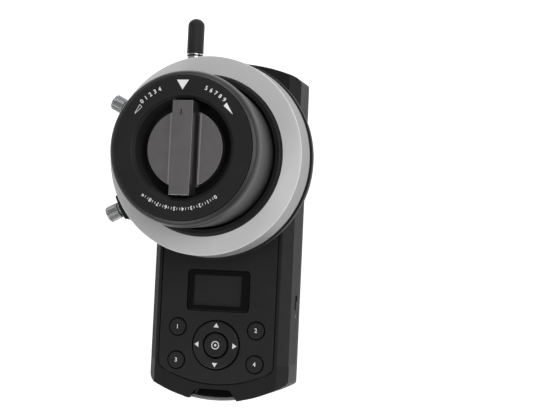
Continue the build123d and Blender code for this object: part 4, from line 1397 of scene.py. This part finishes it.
@dataclass
class Keypad:
    """Round keys, confirm key and rocker ring with their printed marks."""

    shop: Shop
    pad_y: float = -88.7
    pad_inner: float = 6.5
    pad_outer: float = 11.5
    pad_low: float = 28.0
    pad_top: float = 32.9
    ok_radius: float = 5.72
    ok_top: float = 33.2
    ok_low: float = 27.6
    ok_skirt_low: float = 28.0
    ok_dish: float = 0.14
    key_radius: float = 4.02
    key_top: float = 32.7
    key_low: float = 27.6
    key_flange: float = 5.5
    key_flange_top: float = 29.1
    key_dish: float = 0.12
    figure_height: float = 2.0
    ink: float = 0.02
    arrow_radius: float = 9.3
    arrow_size: float = 1.35

    def build(self) -> None:
        """Builds the keys and their prints."""
        self._keys()
        self._confirm_key()
        self._rocker()

    def _keys(self) -> None:
        """Turns one key cap and copies it to its four places."""
        corners = [
            (0.0, self.key_low, 0.0),
            (self.key_flange, self.key_low, 0.2),
            (self.key_flange, self.key_flange_top, 0.2),
            (self.key_radius, self.key_flange_top, 0.0),
            (self.key_radius, self.key_top, 0.45),
            (self.key_radius - 1.1, self.key_top, 0.4),
            (0.0, self.key_top - self.key_dish, 0.0),
        ]
        cap = smoothed(lathed("key_cap", corners, 72, closed=False))
        for number, (x, y) in enumerate(KEY_SPOTS, start=1):
            body = f"number_button_{number}"
            key = copied(cap, f"key_cap_{number}", moved(x, y, 0.0))
            self.shop.hand_over(key, body, "button_plastic", nodes=[body])
            place = moved(x, y, self.key_top - self.key_dish + self.ink + 0.05)
            figure = lettered(
                f"key_figure_{number}", str(number), self.figure_height, place
            )
            self.shop.hand_over(figure, body, "button_plastic", "white_ink")
        bpy.data.objects.remove(cap)

    def _confirm_key(self) -> None:
        """Turns the middle key, with a ring and a dot printed on it."""
        corners = [
            (0.0, self.ok_low, 0.0),
            (2.0, self.ok_low, 0.0),
            (2.0, self.ok_skirt_low, 0.0),
            (self.ok_radius, self.ok_skirt_low, 0.2),
            (self.ok_radius, self.ok_top, 0.5),
            (self.ok_radius - 1.3, self.ok_top, 0.4),
            (0.0, self.ok_top - self.ok_dish, 0.0),
        ]
        key = smoothed(lathed("confirm_cap", corners, 96, closed=False))
        middle = moved(0.0, self.pad_y, 0.0)
        placed(key, middle)
        self.shop.hand_over(key, "ok_button", "button_plastic", nodes=["ok_button"])
        low = self.ok_top - 0.1
        high = low + 0.03 + self.ink
        ring_outline = [(1.55, low), (2.0, low), (2.0, high), (1.55, high)]
        ring = turned("confirm_mark", ring_outline, 48)
        low -= 0.05
        dot_outline = [(0.0, low), (0.6, low), (0.6, high), (0.0, high)]
        dot = turned("confirm_dot", dot_outline, 32, closed=False)
        mark = placed(joined("confirm_mark", [ring, dot]), middle)
        self.shop.hand_over(mark, "ok_button", "button_plastic", "white_ink")

    def _rocker(self) -> None:
        """Turns the rocker ring, with four printed arrows."""
        corners = [
            (self.pad_inner, self.pad_low, 0.0),
            (self.pad_outer, self.pad_low, 0.0),
            (self.pad_outer, self.pad_top, 0.55),
            (self.pad_inner, self.pad_top, 0.45),
        ]
        ring = smoothed(lathed("rocker_ring", corners, 128, fine=5))
        middle = moved(0.0, self.pad_y, 0.0)
        placed(ring, middle)
        self.shop.hand_over(
            ring, "direction_pad", "pad_plastic", nodes=["direction_pad"]
        )
        size = self.arrow_size
        tips = [(-size, -0.55 * size), (size, -0.55 * size), (0.0, size)]
        arrow = plate("arrow", tips, self.pad_top, self.pad_top + self.ink)
        arrows = []
        for turn in range(4):
            place = middle @ spun(90.0 * turn) @ moved(0.0, self.arrow_radius, 0.0)
            arrows.append(copied(arrow, f"arrow_{turn}", place))
        bpy.data.objects.remove(arrow)
        marks = joined("rocker_arrows", arrows)
        self.shop.hand_over(marks, "direction_pad", "pad_plastic", "white_ink")


@dataclass
class FocusWheel:
    """Base ring, marking ring, collar and knob of the focus wheel.

    A wedge is given by the angle of its wide end, that of its tip and half its width.
    """

    shop: Shop
    base_low: float = 32.0
    base_top: float = 48.5
    base_radius: float = 44.4
    base_wall: float = 42.2
    lip_radius: float = 47.6
    lip_low: float = 45.2
    slot_low: float = 37.5
    slot_high: float = 44.5
    slot_from: float = 87.0
    slot_to: float = 273.0
    ring_low: float = 50.0
    ring_top: float = 64.6
    ring_radius: float = 46.3
    ring_bore: float = 36.1
    ring_wall: float = 44.3
    ring_web: float = 62.6
    side_from: float = 45.6
    edge_band: float = 0.6
    collar_bore: float = 34.2
    collar_low: float = 57.0
    collar_top: float = 66.5
    rear_radius: float = 33.1
    rim_radius: float = 34.9
    rim_height: float = 92.0
    pocket_radius: float = 32.05
    face_low: float = 93.0
    face_top: float = 96.0
    face_radius: float = 31.8
    recess_radius: float = 22.0
    recess_floor: float = 82.5
    figure_starts: tuple[tuple[float, str], ...] = ((134.0, "01234"), (69.0, "56789"))
    figure_step: float = 5.0
    figure_radius: float = 28.0
    figure_height: float = 1.8
    wedge_radius: float = 27.0
    wedge_tip: float = 0.03
    wedge_line: float = 0.1
    filled_wedge: tuple[float, float, float] = (45.5, 33.5, 0.98)
    empty_wedge: tuple[float, float, float] = (137.5, 147.0, 0.8)
    index_corners: tuple[Point, ...] = ((-3.7, 29.9), (-0.9, 25.6), (1.9, 29.9))
    scale_from: float = -52.0
    scale_step: float = 8.5
    scale_last: int = 9
    scale_radius: float = 26.7
    scale_height: float = 1.6
    tick_from: float = 26.2
    tick_to: float = 27.3
    tick_half: float = 0.1
    ink: float = 0.03

    def build(self) -> None:
        """Builds the turned pieces, from the casing outwards."""
        self._base()
        self._marking_ring()
        self._collar()
        self._knob()
        self._prints()

    def _base(self) -> None:
        """Turns the base ring and cuts the slot of the end stops."""
        corners = [
            (7.0, self.base_low, 0.0),
            (self.base_radius, self.base_low, 0.0),
            (self.base_radius, self.lip_low, 0.0),
            (self.lip_radius, self.lip_low, 0.25),
            (self.lip_radius, self.base_top, 0.7),
            (self.base_wall, self.base_top, 0.3),
            (self.base_wall, 35.0, 0.0),
            (12.5, 35.0, 0.0),
            (12.5, 44.0, 0.0),
            (22.0, 44.0, 0.0),
            (22.0, 47.0, 0.0),
            (9.5, 47.0, 0.0),
            (9.5, 34.0, 0.0),
            (7.0, 34.0, 0.0),
        ]
        base = lathed("base_ring_body", corners, 192, fine=3)
        inside, outside = self.base_wall - 1.2, self.base_radius + 1.6
        cutter = turned(
            "slot_cutter",
            [
                (inside, self.slot_low),
                (outside, self.slot_low),
                (outside, self.slot_high),
                (inside, self.slot_high),
            ],
            96,
            angle=math.radians(self.slot_to - self.slot_from),
            start=math.radians(self.slot_from),
        )
        smoothed(cut_away(base, cutter))
        self.shop.hand_over(base, "body", "base_plastic", nodes=["base_ring"])

    def _marking_ring(self) -> None:
        """Turns the pale ring that takes the focus marks."""
        corners = [
            (self.ring_bore, self.ring_top, 0.3),
            (self.ring_bore, self.ring_web, 0.0),
            (self.ring_wall, self.ring_web, 0.0),
            (self.ring_wall, self.ring_low, 0.0),
            (self.ring_radius + 0.5, self.ring_low, 0.25),
            (self.ring_radius, self.ring_top, 0.6),
        ]
        ring = lathed("marking_ring_body", corners, 192)
        band = self.ring_top - self.edge_band
        # The outer side wall below the edge band is painted much darker than the face, as
        # painted shade; the rounded edge band keeps about the face's tone.
        tinted(ring, 1, lambda r, z: r > self.side_from and z < band)
        tinted(ring, 2, lambda r, z: r > self.side_from and z > band)
        smoothed(ring)
        self.shop.hand_over(
            ring,
            "focus_wheel",
            "marking_ring_paint",
            "marking_ring_paint",
            "ring_side_painted_shade",
            "ring_edge_paint",
            nodes=["marking_ring"],
        )

    def _collar(self) -> None:
        """Turns the dark collar between marking ring and knob."""
        corners = [
            (self.collar_bore, self.collar_low, 0.0),
            (36.0, self.collar_low, 0.0),
            (36.0, self.ring_top + 0.05, 0.0),
            (37.6, self.ring_top + 0.05, 0.0),
            (36.9, self.collar_top, 0.7),
            (self.collar_bore, self.collar_top, 0.35),
        ]
        collar = smoothed(lathed("drum_collar_body", corners, 176))
        self.shop.hand_over(
            collar, "focus_wheel", "collar_anodised", nodes=["drum_collar"]
        )

    def _knob(self) -> None:
        """Turns the sleeve and the face of the knob."""
        sleeve_corners = [
            (28.5, self.face_low, 0.0),
            (28.5, 60.0, 0.0),
            (24.0, 60.0, 0.0),
            (24.0, self.collar_low, 0.0),
            (self.rear_radius, self.collar_low, 0.0),
            (self.rear_radius, 64.0, 6.0),
            (self.rim_radius, self.rim_height, 1.6),
            (33.95, 94.67, 1.4),
            (self.pocket_radius, 95.5, 0.15),
            (self.pocket_radius, self.face_low, 0.0),
        ]
        sleeve = smoothed(lathed("knob_sleeve_body", sleeve_corners, 176))
        self.shop.hand_over(sleeve, "focus_wheel", "knob_side", nodes=["knob_sleeve"])
        face_corners = [
            (8.05, 80.0, 0.0),
            (23.8, 80.0, 0.0),
            (23.8, self.face_low, 0.0),
            (self.face_radius, self.face_low, 0.1),
            (self.face_radius, self.face_top, 0.5),
            (self.recess_radius + 1.6, self.face_top, 0.25),
            (self.recess_radius, self.face_top - 1.6, 0.25),
            (self.recess_radius, self.recess_floor, 0.0),
            (8.05, self.recess_floor, 0.0),
        ]
        face = lathed("knob_face_body", face_corners, 176, fine=3)
        inner, outer = self.recess_radius - 0.5, self.recess_radius + 0.2
        below = self.face_top - 1.7
        # The recess wall is painted lighter than the face, as painted light.
        tinted(face, 1, lambda r, z: inner < r < outer and z < below)
        smoothed(face)
        self.shop.hand_over(
            face,
            "focus_wheel",
            "knob_face_plastic",
            "knob_face_plastic",
            "recess_wall_painted_light",
            nodes=["knob_face"],
        )

    def _prints(self) -> None:
        """Prints the knob face: index, figures, wedges and a scale with ticks."""
        high = self.face_top + self.ink
        marks = []
        for start, text in self.figure_starts:
            for index, figure in enumerate(text):
                turn = spun(start - self.figure_step * index - 90.0)
                place = turn @ moved(0.0, self.figure_radius, high)
                marks.append(
                    lettered(f"figure_{figure}", figure, self.figure_height, place)
                )
        marks.append(self._filled_wedge())
        marks += self._empty_wedge()
        marks.append(self._print("index", self.index_corners))
        figures = joined("knob_face_figures", marks)
        self.shop.hand_over(figures, "focus_wheel", "knob_face_plastic", "white_ink")
        ticks = []
        for index in range(self.scale_last + 1):
            angle = self.scale_from - self.scale_step * index
            place = spun(angle - 90.0) @ moved(0.0, self.scale_radius, high)
            ticks.append(
                lettered(f"scale_{index}", str(index), self.scale_height, place)
            )
            for step in (1, 2) if index < self.scale_last else ():
                tick = self._tick(f"tick_{index}_{step}")
                ticks.append(placed(tick, spun(angle - self.scale_step * step / 3)))
        scale = joined("knob_face_scale", ticks)
        self.shop.hand_over(scale, "focus_wheel", "knob_face_plastic", "white_ink")

    def _print(self, name: str, corners: Sequence[Point]) -> bpy.types.Object:
        """Prints one filled shape on the knob face."""
        return plate(name, corners, self.face_top, self.face_top + self.ink)

    def _tick(self, name: str) -> bpy.types.Object:
        """Prints one tick of the scale, across the X axis."""
        low, high, half = self.tick_from, self.tick_to, self.tick_half
        return self._print(
            name, [(low, -half), (high, -half), (high, half), (low, half)]
        )

    def _filled_wedge(self) -> bpy.types.Object:
        """Prints the wedge that is filled.

        Returns:
            The wedge.
        """
        start, end, half = self.filled_wedge
        tip = self.wedge_tip
        corners = ((start, half), (end, tip), (end, -tip), (start, -half))
        return self._print(
            "wedge_filled", [on_circle(a, self.wedge_radius + r) for a, r in corners]
        )

    def _empty_wedge(self) -> list[bpy.types.Object]:
        """Prints the thin lines round the wedge that is empty.

        Returns:
            The three lines.
        """
        start, end, half = self.empty_wedge
        tip = Vector(on_circle(end, self.wedge_radius))
        outer = Vector(on_circle(start, self.wedge_radius + half))
        inner = Vector(on_circle(start, self.wedge_radius - half))
        lines = []
        for index, (first, second) in enumerate(
            ((outer, tip), (inner, tip), (outer, inner))
        ):
            side = (second - first).normalized().orthogonal() * self.wedge_line
            corners = [first - side, second - side, second + side, first + side]
            lines.append(
                self._print(f"wedge_line_{index}", [(c.x, c.y) for c in corners])
            )
        return lines


@dataclass
class TensionDial:
    """The drag dial with its cross bar."""

    shop: Shop
    radius: float = 17.4
    low: float = 87.0
    top: float = 92.0
    channel: float = 12.8
    channel_floor: float = 88.5
    bar_width: float = 9.5
    bar_length: float = 41.6
    bar_low: float = 88.5
    bar_top: float = 97.2
    land_width: float = 0.75
    land_gap: float = 0.12
    dial_edge: float = 0.22
    bar_edge: float = 0.28
    edge_angle: float = 40.0
    cutter_length: float = 60.0
    cutter_height: float = 6.0
    mark_size: tuple[float, float, float] = (0.5, 2.4, 0.04)
    mark_spot: Point = (-0.6, 15.6)

    def build(self) -> None:
        """Turns the dial, cuts its channel and shapes the bar."""
        outline = [(0.0, self.low), (self.radius, self.low)]
        outline += [(self.radius, self.top), (0.0, self.top)]
        dial = turned("dial_disc", outline, 144, closed=False)
        cutter = block(
            "channel_cutter",
            (self.channel, self.cutter_length, self.cutter_height),
            (0.0, 0.0, self.channel_floor + self.cutter_height / 2),
        )
        cut_away(dial, cutter)
        open_mesh(dial)
        bpy.ops.mesh.dissolve_limited(angle_limit=math.radians(0.5))
        put_down()
        # The dial's rounded edges take the brighter second finish, as painted highlights.
        self.shop.finishes.coat(dial, "dial_metal", "dial_edge_painted_highlight")
        edged(dial, self.dial_edge, self.edge_angle, material=1)
        smoothed(dial)
        self.shop.hand_over(
            dial,
            "tension_dial",
            "dial_metal",
            "dial_metal",
            "dial_edge_painted_highlight",
            nodes=["tension_dial"],
        )
        self._lands()
        self._bar()

    def _lands(self) -> None:
        """Adds two thin bright strips along the edges of the channel, as painted
        highlights.
        """
        width = self.land_width
        x = self.channel / 2 + self.land_gap + width / 2
        length = 2 * math.sqrt(self.radius**2 - (x + width / 2) ** 2) - 0.6
        # Each strip is a thin bright plate, a painted highlight along one edge of the
        # channel.
        strip_plates = [
            block(
                f"land_{index}",
                (width, length, 0.2),
                (side * x, 0.0, self.top - 0.04),
                edge=0.04,
            )
            for index, side in enumerate((-1, 1))
        ]
        both = smoothed(joined("dial_highlight_strips", strip_plates))
        self.shop.hand_over(both, "tension_dial", "dial_metal", "dial_strip_painted_highlight")

    def _bar(self) -> None:
        """Shapes the bar, with its rounded edges painted brighter as painted highlights,
        and a small dark index mark.
        """
        height = self.bar_top - self.bar_low
        bar = block(
            "dial_bar",
            (self.bar_width, self.bar_length, height),
            (0.0, 0.0, self.bar_low + height / 2),
        )
        # The bar's rounded edges take the brighter second finish, as painted highlights.
        self.shop.finishes.coat(bar, "dial_metal", "dial_edge_painted_highlight")
        edged(bar, self.bar_edge, self.edge_angle, material=1)
        smoothed(bar)
        self.shop.hand_over(
            bar,
            "tension_dial",
            "dial_metal",
            "dial_metal",
            "dial_edge_painted_highlight",
            nodes=["tension_bar"],
        )
        spot = (*self.mark_spot, self.bar_top + 0.01)
        mark = block("dial_index", self.mark_size, spot)
        self.shop.hand_over(mark, "tension_dial", "dial_metal", "shadow_black")


@dataclass
class EndStop:
    """One end stop: slider in the slot of the base ring, and its thumbscrew."""

    shop: Shop
    letter: str
    angle: float
    height: float = 41.0
    teeth: int = 22
    screw_tip: float = 38.9
    screw_radius: float = 1.5
    shoulder: float = 54.4
    shoulder_radius: float = 2.9
    head_from: float = 55.4
    head_to: float = 61.8
    head_radius: float = 3.9
    knurl_from: float = 56.1
    knurl_to: float = 60.4
    valley_share: float = 0.9
    slider_edge: float = 0.2

    def build(self) -> None:
        """Dresses the slider and shapes the thumbscrew."""
        node = f"stop_slider_{self.letter}"
        slider = self.shop.refined(node, self.slider_edge)
        body = f"stop_{self.letter}"
        self.shop.hand_over(slider, body, "stop_plastic", nodes=[node])
        self._thumbscrew()

    def _thumbscrew(self) -> None:
        """Turns the thumbscrew, knurls its head and lays it on its axis."""
        corners = [
            (0.0, self.screw_tip, 0.0),
            (self.screw_radius, self.screw_tip, 0.2),
            (self.screw_radius, self.shoulder, 0.0),
            (self.shoulder_radius, self.shoulder, 0.2),
            (self.shoulder_radius, self.head_from, 0.0),
            (self.head_radius, self.head_from, 0.5),
            (self.head_radius, self.head_from + 0.9, 0.0),
            (self.head_radius, self.head_to - 1.5, 0.0),
            (self.head_radius, self.head_to, 0.9),
            (0.0, self.head_to, 0.0),
        ]
        screw = lathed(
            f"thumbscrew_{self.letter}", corners, self.teeth * 4, closed=False
        )
        open_mesh(screw)
        tooth = FULL_TURN / self.teeth
        low, high = self.knurl_from * MM, self.knurl_to * MM
        rim = (self.head_radius - 0.05) * MM

        def in_valley(vertex: bmesh.types.BMVert) -> bool:
            """Says whether a vertex lies in a valley of the knurl.

            Args:
                vertex: The vertex.

            Returns:
                Whether it does.
            """
            turn = (math.atan2(vertex.co.y, vertex.co.x) / tooth + 0.125) % 1.0
            flat = math.hypot(vertex.co.x, vertex.co.y)
            return low < vertex.co.z < high and flat > rim and turn > 0.5

        pick(Part.VERTS, in_valley)
        bpy.ops.transform.resize(
            value=(self.valley_share, self.valley_share, 1.0),
            center_override=(0, 0, 0),
        )
        put_down()
        smoothed(screw, 24.0)
        place = moved(0, 0, self.height) @ spun(self.angle) @ spun(90.0, "Y")
        placed(screw, place)
        node = f"stop_screw_{self.letter}"
        self.shop.hand_over(screw, node, "thumbscrew_metal", nodes=[node])


@dataclass
class Aerial:
    """The stub aerial with its ferrule."""

    shop: Shop
    x: float = -21.2
    z: float = 22.0
    ferrule_low: float = 49.6
    cap_low: float = 53.7
    ferrule_top: float = 54.9
    ferrule_radius: float = 4.25
    collar_radius: float = 3.06
    groove_radius: float = 3.8
    groove_low: float = 53.6
    groove_top: float = 54.3
    radius: float = 4.15
    tip: float = 72.9
    dome: float = 3.55

    def build(self) -> None:
        """Turns the ferrule and the rubber whip and lays them along Y."""
        place = moved(self.x, 0.0, self.z) @ spun(-90.0, "X")
        corners = [
            (0.0, self.cap_low, 0.0),
            (self.collar_radius, self.cap_low, 0.0),
            (self.collar_radius, self.ferrule_low, 0.0),
            (self.ferrule_radius, self.ferrule_low, 0.25),
            (self.ferrule_radius, self.groove_low, 0.15),
            (self.groove_radius, self.groove_low, 0.0),
            (self.groove_radius, self.groove_top, 0.0),
            (self.ferrule_radius, self.groove_top, 0.15),
            (self.ferrule_radius, self.ferrule_top, 0.15),
            (0.0, self.ferrule_top, 0.0),
        ]
        ferrule = lathed("ferrule_rings", corners, 80, closed=False, fine=3)
        low, high = self.groove_low - 0.05, self.groove_top + 0.05
        inner, outer = self.collar_radius, self.ferrule_radius - 0.15
        tinted(ferrule, 1, lambda r, z: inner < r < outer and low < z < high)
        smoothed(ferrule)
        placed(ferrule, place)
        self.shop.hand_over(
            ferrule,
            "aerial",
            "ferrule_metal",
            "ferrule_metal",
            "shadow_black",
            nodes=["aerial_ferrule"],
        )
        dome = [
            (self.radius * math.cos(t), self.tip - self.dome * (1 - math.sin(t)))
            for t in (math.radians(6.0 * k) for k in range(15))
        ]
        whip_outline = [
            (0.0, self.ferrule_top),
            (self.radius, self.ferrule_top),
            *dome,
            (0.0, self.tip),
        ]
        whip = turned("aerial_stub", whip_outline, 80, closed=False)
        smoothed(whip)
        placed(whip, place)
        self.shop.hand_over(whip, "aerial", "aerial_rubber", nodes=["aerial_whip"])


@dataclass
class InnerPieces:
    """CAD nodes that stay as they are and get a finish."""

    shop: Shop

    def build(self) -> None:
        """Puts the finish of its slot on every CAD node."""
        record = self.shop.frame["record"]
        slots = {row["node"]: row["material_slot"] for row in record["subparts"]}
        for name, node in self.shop.frame["nodes"].items():
            self.shop.finishes.coat(node, slots[name])
        LOG.info("%d CAD nodes finished", len(slots))


@dataclass
class Studio:
    """Floor, lights and camera."""

    floor_colour: Colour = (0.9, 0.9, 0.9)
    floor_glow: float = 0.75
    floor_size: float = 8.0
    floor_drop: float = 0.0001
    sky_strength: float = 0.26
    lamp_aim: tuple[float, float, float] = (0.0, -0.02, 0.05)
    camera_place: tuple[float, float, float] = (174.843, -52.983, 594.53)
    camera_right: tuple[float, float, float] = (0.96759, 0.04495, -0.24851)
    camera_up: tuple[float, float, float] = (-0.03038, 0.9976, 0.06216)
    camera_back: tuple[float, float, float] = (0.25071, -0.05259, 0.96663)
    lens: float = 77.93
    sensor: float = 36.0
    lamps: tuple[tuple[str, Sequence[float], float, float], ...] = (
        ("lamp_right", (0.8, 0.2, 1.1), 0.8, 7.0),
        ("lamp_far", (0.05, 1.05, 0.95), 0.7, 4.5),
        ("lamp_near", (-0.45, -0.85, 1.1), 0.7, 5.5),
    )

    def build(self) -> None:
        """Sets up the floor, the soft light and the camera."""
        put_down()
        bpy.ops.mesh.primitive_plane_add(
            size=self.floor_size, location=(0.0, 0.0, -self.floor_drop)
        )
        floor = bpy.context.active_object
        floor.name = "studio_floor"
        floor.data.materials.append(
            StudioFloor("studio_floor", self.floor_colour, self.floor_glow).material()
        )
        for lamp in self.lamps:
            self._lamp(*lamp)
        self._sky()
        self._camera()
        view = bpy.context.scene.view_settings
        view.view_transform = "Standard"
        view.look = "None"
        LOG.info("studio is ready")

    def _lamp(
        self, name: str, spot: Sequence[float], size: float, power: float
    ) -> None:
        """Hangs one square soft lamp that points at the wheel.

        Args:
            name: The lamp's name.
            spot: Where it hangs, in metres.
            size: The length of its sides, in metres.
            power: Its power in watts.
        """
        data = bpy.data.lights.new(name, "AREA")
        data.energy = power
        data.size = size
        lamp = bpy.data.objects.new(name, data)
        bpy.context.scene.collection.objects.link(lamp)
        aim = Vector(self.lamp_aim) - Vector(spot)
        lamp.location = spot
        lamp.rotation_euler = aim.to_track_quat("-Z", "Y").to_euler()

    def _sky(self) -> None:
        """Fills the room with even white light."""
        world = bpy.data.worlds.new("studio_room")
        world.use_nodes = True
        background = world.node_tree.nodes["Background"]
        background.inputs["Color"].default_value = (1.0, 1.0, 1.0, 1.0)
        background.inputs["Strength"].default_value = self.sky_strength
        bpy.context.scene.world = world

    def _camera(self) -> None:
        """Puts the camera in its place."""
        data = bpy.data.cameras.new("camera")
        data.lens = self.lens
        data.sensor_width = self.sensor
        data.sensor_fit = "HORIZONTAL"
        data.clip_start = 0.01
        camera = bpy.data.objects.new("camera", data)
        bpy.context.scene.collection.objects.link(camera)
        turn = Matrix(
            (self.camera_right, self.camera_up, self.camera_back)
        ).transposed()
        place = turn.to_4x4()
        place.translation = Vector(self.camera_place) * MM
        camera.matrix_world = place
        bpy.context.scene.camera = camera


def main() -> None:
    """Builds the scene, sub-assembly by sub-assembly."""
    logging.basicConfig(level=logging.INFO, format="%(name)s: %(message)s")
    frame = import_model()
    shop = Shop(frame, Finishes())
    InnerPieces(shop).build()
    Studio().build()
    Casing(shop).build()
    Display(shop).build()
    Keypad(shop).build()
    FocusWheel(shop).build()
    TensionDial(shop).build()
    for letter, angle in STOP_ANGLES.items():
        EndStop(shop, letter, angle).build()
    Aerial(shop).build()
    LOG.info("%d new pieces", shop.pieces)


if __name__ == "__main__":
    main()
